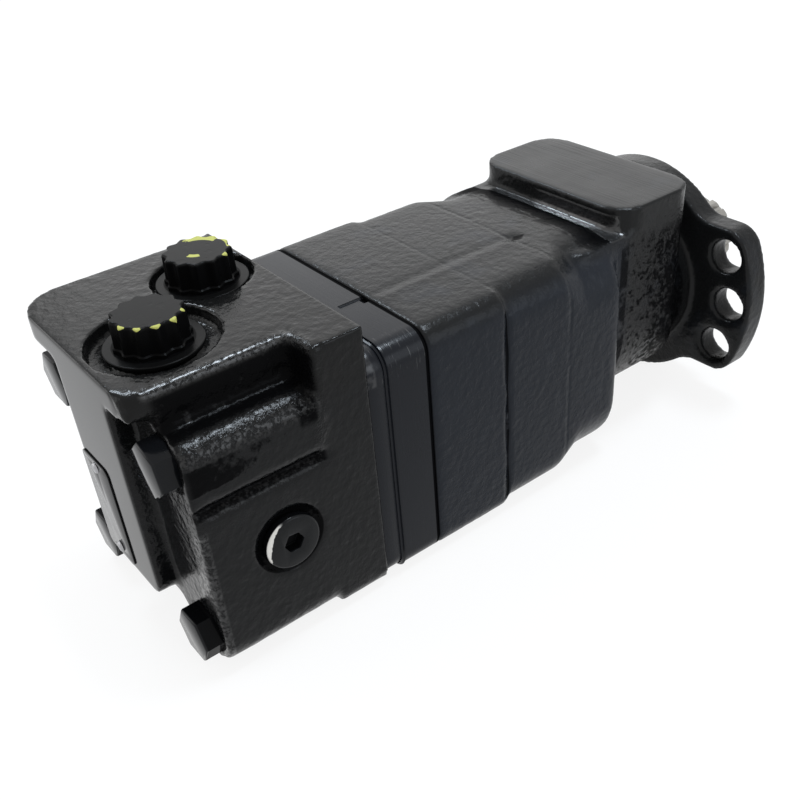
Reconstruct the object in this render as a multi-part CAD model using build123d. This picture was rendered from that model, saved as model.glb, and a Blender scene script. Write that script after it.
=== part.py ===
from build123d import *
import os
from math import atan, cos, degrees, hypot, pi, radians, sin, sqrt, tan

# A disc valve orbital hydraulic motor with a long shaft housing, in millimetres.
# The origin is the centre of the pilot on the mounting face, +X runs out along the shaft,
# +Z is up through the ports, and the drain plug looks towards -Y.

# Mounting flange
pilot_diameter = 82.55
pilot_length = 5.6
flange_thickness = 11.0
flange_disc_diameter = 94.6
mount_circle = 106.4
mount_hole = 14.3
mount_hole_step = 22.5
wing_margin = 10.6
wing_height = 64.6
wing_fillet = 14.0

# Shaft housing, from the mounting face back to its joint with the ring
shaft_housing_length = 163.6
body_width = 95.2
side_crown = 0.5
joint_corner = 8.0
bolt_zone_length = 35.0
middle_corner = 13.0
middle_zone_length = 29.0
shoulder_corner = 25.0
shoulder_blend = 11.0
shoulder_length = 20.0
shoulder_edge = 4.0
neck_width = 81.0
neck_height = 44.0
waist_diameter = 70.0
waist_length = 11.0
pad_height = 53.5
pad_gap_to_body = 4.5
pad_corner = 11.0

# Joint plates behind the shaft housing
ring_width = 16.8
ring_inset = 0.6
valve_plate_thickness = 7.5
valve_plate_inset = 1.2
wear_plate_thickness = 4.0
wear_plate_diameter = 76.0

# Valve housing
valve_housing_length = 73.0
port_block_height = 59.5
front_slab_length = 19.0
block_wall_inset = 12.6
block_near_corner = 6.0
block_far_corner = 15.0
shoulder_depth = 7.7
rear_boss_width = 39.0
rear_boss_bottom = 28.5
rear_boss_corner = 8.0
notch_depth = 9.5
channel_low = 20.9
channel_drop = 14.5
channel_groove = 3.0
channel_round = 8.0
under_step = 1.6
under_scallop_width = 40.0
under_scallop_height = 32.0
far_scallop_depth = 7.0
far_scallop_height = 40.0
scallop_corner = 6.0

# Ports, each as a distance behind the shaft housing's joint and a place along Y
port_places = ((73.8, -7.8), (42.5, 19.0))
port_recess_diameters = (41.6, 34.6)
port_recess_depth = 4.8
port_seat_diameter = 30.0
port_seat_height = 2.0
port_bore = 20.2
port_bore_depth = 14.0
passage_bore = 11.0

# Port caps
cap_flange_diameter = 31.6
cap_flange_thickness = 1.5
cap_height = 10.4
cap_lobes = 12
cap_foot_diameter = 25.6
cap_top_diameter = 22.8
cap_lobe_diameter = 5.6
cap_shank_length = 9.0
cap_wall = 1.8

# Drain plug, as a distance behind the shaft housing's joint and a height
drain_back = 60.0
drain_height = -4.5
drain_spotface = 25.4
drain_spotface_depth = 1.6
drain_bore = 13.0
drain_head_diameter = 20.0
drain_head_height = 3.6
drain_socket = 6.35
drain_shank_length = 11.0
drain_seal_section = 1.6

# Through bolts
bolt_spacing = 68.8
bolt_diameter = 10.0
bolt_hole = 11.0
bolt_flats = 17.0
bolt_head_height = 6.4
bolt_engagement = 24.0
bolt_seat_depth = 1.4
bolt_seat_diameter = 20.0
bolt_lobe_diameter = 25.0

# Nameplate on the rear boss
plate_width = 20.0
plate_height = 42.0
plate_thickness = 0.5
plate_top = 16.3
plate_near_edge = -1.0
plate_corner = 6.0
rivet_head = 4.2
rivet_shank = 2.0
rivet_inset = 3.6
rivet_depth = 5.0

# Gerotor set
roller_count = 7
roller_circle = 64.0
roller_diameter = 14.0
orbit_offset = 2.8
ring_bore = 62.0
roller_end_gap = 0.05

# Splines that carry the drives
drive_teeth = 12
spline_minor = 26.0
spline_major = 31.0
spline_slot = 4.2
tooth_side_gap = 0.16
tooth_tip_gap = 0.5
front_head_length = 11.0
star_head_length = 8.0
valve_head_length = 4.5
disc_head_length = 6.0
drive_crown = 0.35
drive_body_diameter = 21.0
valve_drive_body = 14.0
main_drive_reach = 72.0
main_head_back = 4.2
valve_head_back = 14.3
valve_spline_minor = 18.0
valve_spline_major = 22.0
valve_spline_slot = 3.0
valve_spline_length = 9.0
valve_drive_reach = 26.0
valve_drive_hole = 23.0
drive_spacer_outer = 25.2
drive_spacer_inner = 8.0
drive_spacer_thickness = 1.4
drive_spacer_back = 10.35

# Disc valve and balance ring
valve_diameter = 57.0
valve_thickness = 20.0
valve_clearance = 3.0
balance_ring_outer = 50.0
balance_ring_inner = 34.0
balance_ring_thickness = 10.0
balance_seal_section = 1.8
spring_height = 2.2
spring_thickness = 0.9
spring_outer = 39.6
rear_chamber = 34.0
rear_chamber_length = 10.0
balance_pin = 3.0
balance_pin_circle = 43.4
balance_pin_length = 9.0
balance_pin_bite = 4.0
end_gap = 0.05
kidney_circle = 50.0
kidney_length = 6.0
kidney_width = 5.0
kidney_depth = 6.0
feed_hole = 4.5
feed_circle = 28.4
window_circle = 50.0
window_length = 6.6
window_width = 4.0
valve_plate_bore = 36.4
wear_plate_bore = 37.0

# Output shaft
shaft_reach = 44.4
output_spline_teeth = 14
output_spline_pitch = 25.4 * 14 / 12
output_spline_outer = 31.2
output_spline_root = 26.6
output_spline_length = 31.0
shaft_relief = 26.2
seal_journal = 35.0
shaft_collar = 52.0
collar_width = 4.0
shaft_middle = 44.0
bell_bore = 35.0
bell_depth = 20.0
shaft_tail = 12.0
shaft_spline_length = 24.0

# Tapered roller bearings
front_bore = 38.1
front_outer = 65.1
rear_bore = 45.0
rear_outer = 73.0
bearing_width = 18.4
bearing_angle = 13.0
bearing_rollers = 15
race_gap = 0.03
front_bearing_back = 38.4
rear_bearing_front = 98.0

# Seals and rings at the shaft
seal_bore = 54.0
seal_width = 7.0
seal_back = 15.0
backup_thickness = 1.5
snap_thickness = 1.6
snap_depth = 1.2
snap_radial = 3.4
dust_seal_width = 5.0
journal_gap = 0.05
spacer_thickness = 4.0

# Body seals
body_seal_diameter = 82.4
body_seal_section = 1.8

# Fits
slip = 0.1
thread_gap = 0.05

# Stations along X
joint_x = -shaft_housing_length
ring_back = joint_x - ring_width
plate_back = ring_back - valve_plate_thickness
housing_back = plate_back - valve_housing_length
slab_back = plate_back - front_slab_length
shoulder_x = housing_back + shoulder_depth
half = body_width / 2
channel_high = port_block_height - channel_drop
bolt_half = bolt_spacing / 2
valve_chamber = valve_diameter + 2 * valve_clearance
body_front = joint_x + bolt_zone_length + middle_zone_length + shoulder_blend + shoulder_length
flange_back = -flange_thickness


def slab(outline, x0, x1):
    """A prism of an outline in Y and Z, from x0 to x1."""
    return extrude(Plane.YZ.offset(x0) * outline, amount=x1 - x0)


def rod(x0, x1, diameter, y=0.0, z=0.0):
    """A cylinder along X."""
    return slab(Pos(y, z) * Circle(diameter / 2), x0, x1)


def turned(*points):
    """A solid of revolution about X from corners given as (x, radius)."""
    return revolve(Plane.XZ * make_face(Polyline(*points, close=True)), Axis.X)


def ring(x0, x1, outer, inner):
    """A plain ring about X."""
    return turned((x0, inner / 2), (x1, inner / 2), (x1, outer / 2), (x0, outer / 2))


def crowned_square(width, corner, crown):
    """A square with slightly bulged sides and round corners."""
    h = width / 2
    side = [
        ThreePointArc((-h + crown, -h + crown), (0, -h), (h - crown, -h + crown)),
        ThreePointArc((h - crown, -h + crown), (h, 0), (h - crown, h - crown)),
        ThreePointArc((h - crown, h - crown), (0, h), (-h + crown, h - crown)),
        ThreePointArc((-h + crown, h - crown), (-h, 0), (-h + crown, -h + crown)),
    ]
    face = make_face(side)
    return fillet(face.vertices(), corner)


def drilled(start, end, diameter):
    """A round hole between two points."""
    a = Vector(*start)
    b = Vector(*end)
    return extrude(Plane(a, z_dir=b - a) * Circle(diameter / 2), amount=(b - a).length)


def at_bolts(make):
    """The union of what is made at each of the four bolt places."""
    made = [make(y, z) for y in (-bolt_half, bolt_half) for z in (-bolt_half, bolt_half)]
    return made[0] + made[1] + made[2] + made[3]


def bolt_holes(x0, x1, diameter):
    """Four round holes at the bolt places."""
    return at_bolts(lambda y, z: rod(x0, x1, diameter, y, z))


def seal_groove(x0, x1):
    """The groove of a body seal between two stations."""
    width = body_seal_section + slip
    return ring(x0, x1, body_seal_diameter + width, body_seal_diameter - width)


def around(shape, count, start=0.0):
    """Copies of a shape spaced evenly about X."""
    return [Rot(start + 360.0 * k / count, 0, 0) * shape for k in range(count)]


def spline_tool(x0, x1, teeth, minor, major, slot):
    """The hollow of an internal spline with straight sided slots."""
    tool = rod(x0, x1, minor)
    tooth = Pos((x0 + x1) / 2, 0, major / 4) * Box(x1 - x0, slot, major / 2)
    for cutter in around(tooth, teeth):
        tool += cutter
    return tool & rod(x0, x1, major)


def crowned_head(centre, length, teeth, minor, major, slot, crown):
    """A gear head with barrel shaped teeth that rock in an internal spline."""
    root = minor / 2 - tooth_tip_gap
    tip = major / 2 - tooth_tip_gap
    width = slot / 2 - tooth_side_gap
    a = length / 2
    lens = make_face([
        ThreePointArc((-a, width - crown), (0, width), (a, width - crown)),
        Line((a, width - crown), (a, -width + crown)),
        ThreePointArc((a, -width + crown), (0, -width), (-a, -width + crown)),
        Line((-a, -width + crown), (-a, width - crown)),
    ])
    tooth = extrude(Plane.XY.offset(root / 2) * lens, amount=tip + 1 - root / 2)
    head = rod(-a, a, 2 * (root - crown))
    for copy in around(tooth, teeth):
        head += copy
    barrel = make_face([
        Line((-a, 0), (a, 0)),
        Line((a, 0), (a, tip - crown)),
        ThreePointArc((a, tip - crown), (0, tip), (-a, tip - crown)),
        Line((-a, tip - crown), (-a, 0)),
    ])
    return Pos(centre, 0, 0) * (head & revolve(Plane.XZ * barrel, Axis.X))


def flange_outline():
    """The round flange with its two wings."""
    reach = mount_circle / 2 + wing_margin
    rise = wing_height / 2
    wings = Circle(reach) & Rectangle(2 * reach + 2, 2 * rise)
    wings = fillet([v for v in wings.vertices() if abs(v.Y) > rise - 1], wing_margin)
    plan = wings + Circle(flange_disc_diameter / 2)
    inner = flange_disc_diameter / 2 - 2
    return fillet([v for v in plan.vertices() if abs(v.Y) > rise - 1 and abs(v.X) < inner], wing_fillet)


def mount_places():
    """The six bolt places on the flange, as Y and Z."""
    r = mount_circle / 2
    turns = [side + step * mount_hole_step for side in (0, 180) for step in (-1, 0, 1)]
    return [(r * cos(radians(a)), r * sin(radians(a))) for a in turns]


def column(x0, x1, z0, z1):
    """An upright block of the neck's width with round corners."""
    plan = Pos((x0 + x1) / 2, 0, z0) * RectangleRounded(x1 - x0, neck_width, pad_corner)
    return extrude(plan, amount=z1 - z0)


def shaft_housing():
    """The long casting that carries the shaft, from its joint to the pilot."""
    first_end = joint_x + bolt_zone_length
    second_end = first_end + middle_zone_length
    blend_end = second_end + shoulder_blend
    plain = crowned_square(body_width, joint_corner, side_crown)
    middle = crowned_square(body_width, middle_corner, side_crown)
    last = crowned_square(body_width, shoulder_corner, side_crown)
    body = slab(plain, joint_x, first_end)
    body += slab(middle, first_end, second_end)
    body += loft([Plane.YZ.offset(second_end) * middle, Plane.YZ.offset(blend_end) * last])
    front = slab(last, blend_end, body_front)
    rim = front.edges().filter_by_position(Axis.X, body_front - slip, body_front + slip)
    body += fillet(rim, shoulder_edge)

    neck_end = flange_back - waist_length
    tall = Circle(neck_width / 2) + Pos(0, neck_height / 2) * Rectangle(neck_width, neck_height)
    neck_start = body_front - 2 * pad_corner
    pad_start = body_front + pad_gap_to_body
    body += slab(tall, neck_start, neck_end) & column(neck_start, neck_end, -neck_width, neck_height)
    body += column(pad_start, neck_end, 0, pad_height)
    body += rod(neck_end, flange_back, waist_diameter)

    flange = slab(flange_outline(), flange_back, 0)
    flange += rod(0, pilot_length, pilot_diameter)
    for y, z in mount_places():
        flange -= rod(flange_back, 0, mount_hole, y, z)
    body += flange

    cup_back = -front_bearing_back + bearing_width
    body -= rod(joint_x, joint_x + wear_plate_thickness, wear_plate_diameter + slip)
    body -= rod(joint_x, -rear_bearing_front, rear_outer + slip)
    body -= rod(-rear_bearing_front, cup_back, front_outer + slip)
    body -= rod(cup_back, pilot_length, seal_bore - 2 * snap_radial)
    body -= rod(-seal_back, pilot_length, seal_bore + slip)
    snap_x = -seal_back + seal_width + backup_thickness + slip
    body -= rod(snap_x, snap_x + snap_thickness + slip, seal_bore + 2 * snap_depth)
    rear_snap_x = -rear_bearing_front - bearing_width - spacer_thickness - slip
    body -= rod(rear_snap_x - snap_thickness - slip, rear_snap_x, rear_outer + 2 * snap_depth)
    body -= bolt_holes(joint_x, joint_x + bolt_engagement + 3, bolt_diameter + 2 * thread_gap)
    body -= seal_groove(joint_x, joint_x + body_seal_section)
    return body


def wear_plate():
    """The hard disc that the star turns against."""
    return ring(joint_x, joint_x + wear_plate_thickness - slip, wear_plate_diameter, wear_plate_bore)


def geroler_ring():
    """The ground ring with the half round pockets that hold the rollers."""
    side = body_width - 2 * ring_inset
    body = slab(RectangleRounded(side, side, joint_corner), ring_back, joint_x)
    body -= rod(ring_back, joint_x, ring_bore)
    pocket = rod(ring_back, joint_x, roller_diameter + slip, roller_circle / 2)
    body -= around(pocket, roller_count)
    return body - bolt_holes(ring_back, joint_x, bolt_hole)


def geroler_rollers():
    """The seven loose rollers of the ring."""
    one = rod(ring_back + roller_end_gap, joint_x - roller_end_gap, roller_diameter, roller_circle / 2)
    return around(one, roller_count)


def star_outline():
    """The six lobed outline that stays in touch with all seven rollers."""
    circle = roller_circle / 2
    lobes = roller_count - 1
    inset = roller_diameter / 2 + slip / 2
    count = 16 * lobes
    points = []
    for k in range(count):
        turn = 2 * pi * k / count
        s = turn - 0.08 * sin(lobes * turn)
        x = circle * cos(s) - orbit_offset * cos(roller_count * s)
        y = circle * sin(s) - orbit_offset * sin(roller_count * s)
        dx = -circle * sin(s) + roller_count * orbit_offset * sin(roller_count * s)
        dy = circle * cos(s) - roller_count * orbit_offset * cos(roller_count * s)
        size = hypot(dx, dy)
        points.append((x - inset * dy / size, y + inset * dx / size))
    return make_face(Spline(*points, periodic=True))


def rotor_star():
    """The star, off the axis by the orbit offset, with the spline of both drives."""
    x0 = ring_back + roller_end_gap
    x1 = joint_x - roller_end_gap
    body = slab(star_outline(), x0, x1)
    body -= spline_tool(x0, x1, drive_teeth, spline_minor, spline_major, spline_slot)
    return Pos(0, orbit_offset, 0) * body


def tilted(shape, from_x, to_x):
    """A drive turned so that its axis runs from the star's centre to the motor's axis."""
    lean = degrees(atan(orbit_offset / (to_x - from_x)))
    return Pos(from_x, orbit_offset, 0) * Rot(0, 0, -lean) * shape


def main_drive():
    """The dogbone that carries the star's turning to the shaft."""
    rear_x = joint_x - main_head_back
    drive = crowned_head(0, star_head_length, drive_teeth, spline_minor, spline_major, spline_slot,
                         drive_crown)
    drive += crowned_head(main_drive_reach, front_head_length, drive_teeth, spline_minor, spline_major,
                          spline_slot, drive_crown)
    a = star_head_length / 2 - 1
    b = main_drive_reach - front_head_length / 2 + 1
    r = drive_body_diameter / 2
    drive += turned((a, 0), (b, 0), (b, r + 1.2), (b - 5, r), (b - 22, r - 1.4), (a + 22, r - 1.4),
                    (a + 5, r), (a, r + 1.2))
    return tilted(drive, rear_x, rear_x + main_drive_reach)


def drive_spacer():
    """The disc that keeps the two drives apart at the star's centre."""
    x0 = joint_x - drive_spacer_back
    disc = ring(x0, x0 + drive_spacer_thickness, drive_spacer_outer, drive_spacer_inner)
    return Pos(0, orbit_offset, 0) * disc


def valve_drive():
    """The short dogbone that turns the disc valve with the star."""
    front_x = joint_x - valve_head_back
    drive = crowned_head(0, valve_head_length, drive_teeth, spline_minor, spline_major, spline_slot,
                         drive_crown)
    drive += crowned_head(-valve_drive_reach, disc_head_length, drive_teeth, valve_spline_minor,
                          valve_spline_major, valve_spline_slot, drive_crown)
    drive += rod(-valve_drive_reach, 0, valve_drive_body)
    return tilted(drive, front_x, front_x - valve_drive_reach)


def valve_plate():
    """The fixed plate with a window to each pocket of the ring."""
    side = body_width - 2 * valve_plate_inset
    body = slab(RectangleRounded(side, side, joint_corner), plate_back, ring_back)
    body -= rod(plate_back, ring_back, valve_plate_bore)
    opening = Pos(0, window_circle / 2) * SlotOverall(window_length, window_width, 90)
    window = slab(opening, plate_back, ring_back)
    body -= around(window, roller_count, -90 + 180 / roller_count)
    body -= seal_groove(ring_back - body_seal_section, ring_back)
    return body - bolt_holes(plate_back, ring_back, bolt_hole)


def disc_valve():
    """The turning disc whose pockets lead each window to one port or the other."""
    x1 = plate_back - end_gap
    x0 = x1 - valve_thickness
    body = rod(x0, x1, valve_diameter)
    body -= rod(x0 + valve_spline_length, x1, valve_drive_hole)
    body -= spline_tool(x0, x0 + valve_spline_length, drive_teeth, valve_spline_minor, valve_spline_major,
                        valve_spline_slot)
    floor = x1 - kidney_depth
    pocket = Pos((x1 + floor) / 2, 0, kidney_circle / 2) * Box(kidney_depth, kidney_width, kidney_length)
    side = Pos((x1 + floor) / 2, 0, valve_diameter / 2) * Box(kidney_depth, kidney_width, kidney_length)
    feed = drilled((floor + 1, 0, kidney_circle / 2 - 1), (x0 - 1, 0, feed_circle / 2), feed_hole)
    body -= around(pocket + side, roller_count - 1)
    body -= around(pocket + feed, roller_count - 1, 180 / (roller_count - 1))
    return body


def balance_ring():
    """The fixed ring that is pressed against the back of the disc valve."""
    x1 = plate_back - 2 * end_gap - valve_thickness
    x0 = x1 - balance_ring_thickness
    body = ring(x0, x1, balance_ring_outer - slip, balance_ring_inner)
    middle = (x0 + x1) / 2
    width = balance_seal_section + slip
    body -= ring(middle - width / 2, middle + width / 2, balance_ring_outer, balance_ring_outer - 2 * width)
    pin = rod(x0, x0 + balance_pin_length, balance_pin + slip, balance_pin_circle / 2)
    return body - around(pin, 2)


def balance_seal():
    """The square ring in the groove of the balance ring."""
    middle = plate_back - 2 * end_gap - valve_thickness - balance_ring_thickness / 2
    s = balance_seal_section
    return ring(middle - s / 2, middle + s / 2, balance_ring_outer + slip / 2, balance_ring_outer - 2 * s)


def balance_end():
    """The station of the wall behind the balance ring's spring."""
    return plate_back - 2 * end_gap - valve_thickness - balance_ring_thickness - spring_height - slip


def balance_spring():
    """The cone spring behind the balance ring."""
    x0 = balance_end() + slip / 2
    x1 = x0 + spring_height
    outer = spring_outer / 2
    inner = balance_ring_inner / 2 + slip
    t = spring_thickness
    return turned((x0, outer), (x0 + t, outer), (x1, inner), (x1 - t, inner))


def balance_pins():
    """The two pins that stop the balance ring from turning."""
    x0 = balance_end() - balance_pin_bite + slip
    x1 = balance_end() + spring_height + balance_pin_length - slip
    one = rod(x0, x1, balance_pin, balance_pin_circle / 2)
    return around(one, 2)


def port_centre(index):
    """The place of a port on the top of the valve housing."""
    back, y = port_places[index]
    return joint_x - back, y


def valve_housing():
    """The rear casting with the ports, the drain and the seats of the four bolts."""
    block = Pos(0, (port_block_height - half) / 2) * Rectangle(body_width, port_block_height + half)
    low = [v for v in block.vertices() if v.Y < 0]
    front = slab(fillet(low, joint_corner), slab_back, plate_back)

    rear_low = -half + under_step
    section = Rectangle(body_width, port_block_height - rear_low)
    section = Pos(0, (port_block_height + rear_low) / 2) * section
    section = fillet([v for v in section.vertices() if v.Y < 0], bolt_lobe_diameter / 2 - under_step)
    relief_y = -half + block_wall_inset
    section -= Pos(relief_y - half, channel_high + half) * Rectangle(body_width, body_width)
    top = [v for v in section.vertices() if abs(v.X + half) < slip and v.Y > 0]
    section = fillet(top, channel_round)
    section -= Pos(-half, channel_low) * Circle(channel_groove / 2)
    under_depth = 2 * (-under_scallop_height - rear_low)
    section -= Pos(0, rear_low) * RectangleRounded(under_scallop_width, under_depth, scallop_corner)
    section -= Pos(half, 0) * RectangleRounded(2 * far_scallop_depth, far_scallop_height, scallop_corner)
    middle = slab(section, shoulder_x, slab_back)

    boss_high = (port_block_height - rear_boss_bottom) / 2
    boss = Pos(0, boss_high) * Rectangle(rear_boss_width, port_block_height + rear_boss_bottom)
    boss = fillet([v for v in boss.vertices() if v.Y < 0], rear_boss_corner)
    crest_low = port_block_height - notch_depth
    crest_width = half - relief_y
    crest = Pos((half + relief_y) / 2, (port_block_height + crest_low) / 2)
    boss += crest * Rectangle(crest_width, port_block_height - crest_low)
    rear = slab(boss, housing_back, shoulder_x)

    body = front + middle + rear
    length = slab_back - housing_back
    plan = Pos((slab_back + housing_back) / 2, 0) * Rectangle(length, 2 * body_width)
    keep = Pos((slab_back + housing_back) / 2, (half + relief_y) / 2) * Rectangle(length, crest_width)
    corners = [v for v in keep.vertices() if v.X < housing_back + slip]
    keep = fillet([v for v in corners if v.Y < 0], block_near_corner)
    keep = fillet([v for v in keep.vertices() if v.X < housing_back + slip and v.Y > 0], block_far_corner)
    trim = extrude(Pos(0, 0, channel_high + channel_round) * (plan - keep), amount=body_width)
    body -= trim

    for index in range(len(port_places)):
        body -= port_hollow(index)
    body -= drain_hollow()
    body -= bolt_holes(housing_back, plate_back, bolt_hole)
    body -= bolt_holes(shoulder_x - 1, shoulder_x + bolt_seat_depth, bolt_seat_diameter)
    back = plate_back - 2 * end_gap - valve_thickness
    body -= rod(back, plate_back, valve_chamber)
    body -= rod(balance_end(), plate_back, balance_ring_outer + 2 * slip)
    body -= rod(balance_end() - rear_chamber_length, plate_back, rear_chamber)
    pin = rod(balance_end() - balance_pin_bite, balance_end(), balance_pin + slip, balance_pin_circle / 2)
    body -= around(pin, 2)
    body -= seal_groove(plate_back - body_seal_section, plate_back)
    for place in ((rivet_y(), z) for z in rivet_heights()):
        body -= rod(housing_back, housing_back + rivet_depth, rivet_shank + slip, *place)
    return body


def port_hollow(index):
    """The round recess of a port with its raised seat, its bore and its passage."""
    x, y = port_centre(index)
    floor = port_block_height - port_recess_depth
    seat = floor + port_seat_height
    recess = extrude(Circle(port_recess_diameters[index] / 2), amount=port_recess_depth + 1)
    recess = Pos(x, y, floor) * recess
    recess -= Pos(x, y, floor) * extrude(Circle(port_seat_diameter / 2), amount=port_seat_height)
    bottom = seat - port_bore_depth
    bore = Pos(x, y, bottom) * extrude(Circle(port_bore / 2), amount=port_bore_depth)
    chamber_x = (balance_end() - rear_chamber_length / 2, (plate_back + slab_back) / 2)[index]
    chamber_z = (rear_chamber, valve_chamber)[index] / 2 - passage_bore / 3
    passage = drilled((x, y, bottom + 1), (chamber_x, y / 2, chamber_z), passage_bore)
    return recess + bore + passage


def drain_hollow():
    """The drain port in the near side."""
    x = joint_x - drain_back
    floor = -half + drain_spotface_depth
    spot = drilled((x, -half - 1, drain_height), (x, floor, drain_height), drain_spotface)
    bore = drilled((x, -half, drain_height), (x, -rear_chamber / 4, drain_height), drain_bore)
    return spot + bore


def port_cap(index):
    """A screw-in transport cap with a twelve lobed grip."""
    x, y = port_centre(index)
    seat = port_block_height - port_recess_depth + port_seat_height

    def grip(diameter):
        """The lobed outline at one height."""
        centre = (diameter - cap_lobe_diameter) / 2
        plan = Circle(centre + cap_lobe_diameter / 5)
        for k in range(cap_lobes):
            plan += Rot(0, 0, 360 * k / cap_lobes) * Pos(centre, 0) * Circle(cap_lobe_diameter / 2)
        return plan

    flange = extrude(Circle(cap_flange_diameter / 2), amount=cap_flange_thickness)
    head = loft([Pos(0, 0, cap_flange_thickness) * grip(cap_foot_diameter),
                 Pos(0, 0, cap_flange_thickness + cap_height) * grip(cap_top_diameter)])
    shank = extrude(Circle(port_bore / 2 - slip), amount=-cap_shank_length)
    hollow = extrude(Pos(0, 0, -cap_shank_length) * Circle(port_bore / 2 - slip - cap_wall),
                     amount=cap_shank_length + cap_height)
    return Pos(x, y, seat) * (flange + head + shank - hollow)


def drain_plug():
    """The drain plug with its hexagon socket."""
    head_y = -half + drain_spotface_depth
    r = drain_head_diameter / 2
    head = extrude(Circle(r), amount=drain_head_height)
    head = chamfer(head.edges().group_by(Axis.Z)[-1], 0.7)
    head += extrude(Circle(drain_bore / 2 - thread_gap), amount=-drain_shank_length)
    neck = extrude(Circle(drain_bore / 2 + 1), amount=-drain_seal_section)
    neck -= extrude(Circle(drain_bore / 2 - drain_seal_section / 2), amount=-drain_seal_section)
    head -= neck
    socket = Pos(0, 0, drain_head_height) * RegularPolygon(drain_socket / 2, 6, major_radius=False)
    head -= extrude(socket, amount=-drain_head_height)
    place = Plane((joint_x - drain_back, head_y, drain_height), x_dir=(1, 0, 0), z_dir=(0, -1, 0))
    return place * head


def drain_seal():
    """The sealing ring under the drain plug's head."""
    s = drain_seal_section
    band = Circle(drain_bore / 2) - Circle(drain_bore / 2 - s / 2)
    place = Plane((joint_x - drain_back, -half + drain_spotface_depth, drain_height), x_dir=(1, 0, 0),
                  z_dir=(0, -1, 0))
    return place * extrude(band, amount=-s + slip)


def cap_screws():
    """The four long hexagon screws that hold the motor together."""
    seat = shoulder_x + bolt_seat_depth
    top = seat - bolt_head_height
    end = joint_x + bolt_engagement
    screws = []
    for y in (-bolt_half, bolt_half):
        for z in (-bolt_half, bolt_half):
            hexagon = Rot(0, 0, 90) * RegularPolygon(bolt_flats / 2, 6, major_radius=False)
            head = slab(Pos(y, z) * hexagon, top, seat)
            corner = bolt_flats / sqrt(3)
            dome = turned((top, 0), (seat, 0), (seat, corner + 1), (top + 1.4, corner + 1),
                          (top, bolt_flats / 2 - 0.5))
            head &= Pos(0, y, z) * dome
            screws.append(head + rod(seat, end, bolt_diameter, y, z))
    return screws


def rivet_y():
    """The nameplate's middle."""
    return plate_near_edge + plate_width / 2


def rivet_heights():
    """The heights of the two drive screws."""
    return plate_top - rivet_inset, plate_top - plate_height + rivet_inset


def nameplate():
    """The thin bare plate on the rear boss."""
    centre = Pos(rivet_y(), plate_top - plate_height / 2)
    plan = centre * RectangleRounded(plate_width, plate_height, plate_corner / 2)
    plate = slab(plan, housing_back - plate_thickness, housing_back)
    for z in rivet_heights():
        plate -= rod(housing_back - 1, housing_back, rivet_shank + slip, rivet_y(), z)
    return plate


def nameplate_rivets():
    """The two drive screws of the nameplate."""
    x = housing_back - plate_thickness
    rivets = []
    for z in rivet_heights():
        r = rivet_head / 2
        head = turned((x, 0), (x, r), (x - r / 3, r * 0.8), (x - r / 2, 0))
        rivet = head + rod(x, housing_back + rivet_depth - slip, rivet_shank)
        rivets.append(Pos(0, rivet_y(), z) * rivet)
    return rivets


def body_seals():
    """The three square seals at the joints of the body."""
    s = body_seal_section
    starts = (joint_x, ring_back - s, plate_back - s)
    outer, inner = body_seal_diameter + s, body_seal_diameter - s
    return [ring(x + slip / 2, x + s - slip / 2, outer, inner) for x in starts]


def spline_face(teeth, pitch, outer, root):
    """The outline of an external involute spline with a 30 degree pressure angle."""
    base = pitch / 2 * cos(radians(30))

    def half_angle(r):
        """Half of a tooth's angle at a radius, in degrees."""
        lean = tan(radians(30)) - radians(30)
        wide = sqrt(max(r * r - base * base, 0)) / base
        return degrees(pi / teeth / 2 + lean - (wide - atan(wide)))

    def spot(r, angle):
        """A point at a radius and an angle in degrees."""
        return r * cos(radians(angle)), r * sin(radians(angle))

    low, high = root / 2, outer / 2
    mean = (low + high) / 2
    pitch_angle = 360 / teeth
    edges = []
    for k in range(teeth):
        a = k * pitch_angle
        flank = [(r, half_angle(r)) for r in (low, mean, high)]
        rise = [spot(r, a - h) for r, h in flank]
        fall = [spot(r, a + h) for r, h in reversed(flank)]
        edges.append(ThreePointArc(*rise))
        edges.append(ThreePointArc(rise[-1], spot(high, a), fall[0]))
        edges.append(ThreePointArc(*fall))
        following = spot(low, a + pitch_angle - flank[0][1])
        edges.append(ThreePointArc(fall[-1], spot(low, a + pitch_angle / 2), following))
    return make_face(edges)


def output_shaft():
    """The output shaft with its splined end and the bell that takes the main drive."""
    tail = -rear_bearing_front - bearing_width - shaft_tail
    tip = shaft_reach
    rear_r = rear_bore / 2 - journal_gap / 2
    front_r = front_bore / 2 - journal_gap / 2
    shoulder = -front_bearing_back
    nose = -front_bearing_back + bearing_width + 1
    seal_r = seal_journal / 2
    relief = shaft_relief / 2
    spline_start = tip - output_spline_length
    seat = -rear_bearing_front
    collar = seat + collar_width
    body = turned((tail, 0), (tail, rear_r - 1), (tail + 1, rear_r), (seat, rear_r),
                  (seat, shaft_collar / 2), (collar, shaft_collar / 2), (collar, shaft_middle / 2),
                  (shoulder, shaft_middle / 2), (shoulder, front_r), (nose, front_r), (nose, seal_r),
                  (pilot_length + 3, seal_r), (pilot_length + 4, relief), (tip - 2, relief), (tip - 2, 0))
    face = spline_face(output_spline_teeth, output_spline_pitch, output_spline_outer, output_spline_root)
    teeth = slab(face, spline_start, tip)
    outer = output_spline_outer / 2
    bevel = turned((spline_start, 0), (spline_start, outer - 2), (spline_start + 3, outer + 1),
                   (tip - 3, outer + 1), (tip, outer - 2), (tip, 0))
    body += teeth & bevel
    body -= rod(tail, tail + bell_depth, bell_bore)
    start = tail + bell_depth
    body -= spline_tool(start, start + shaft_spline_length, drive_teeth, spline_minor, spline_major,
                        spline_slot)
    body -= turned((tip + 1, 0), (tip + 1, 5), (tip - 4, 1.6), (tip - 9, 1.6), (tip - 9, 0))
    return body


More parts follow.
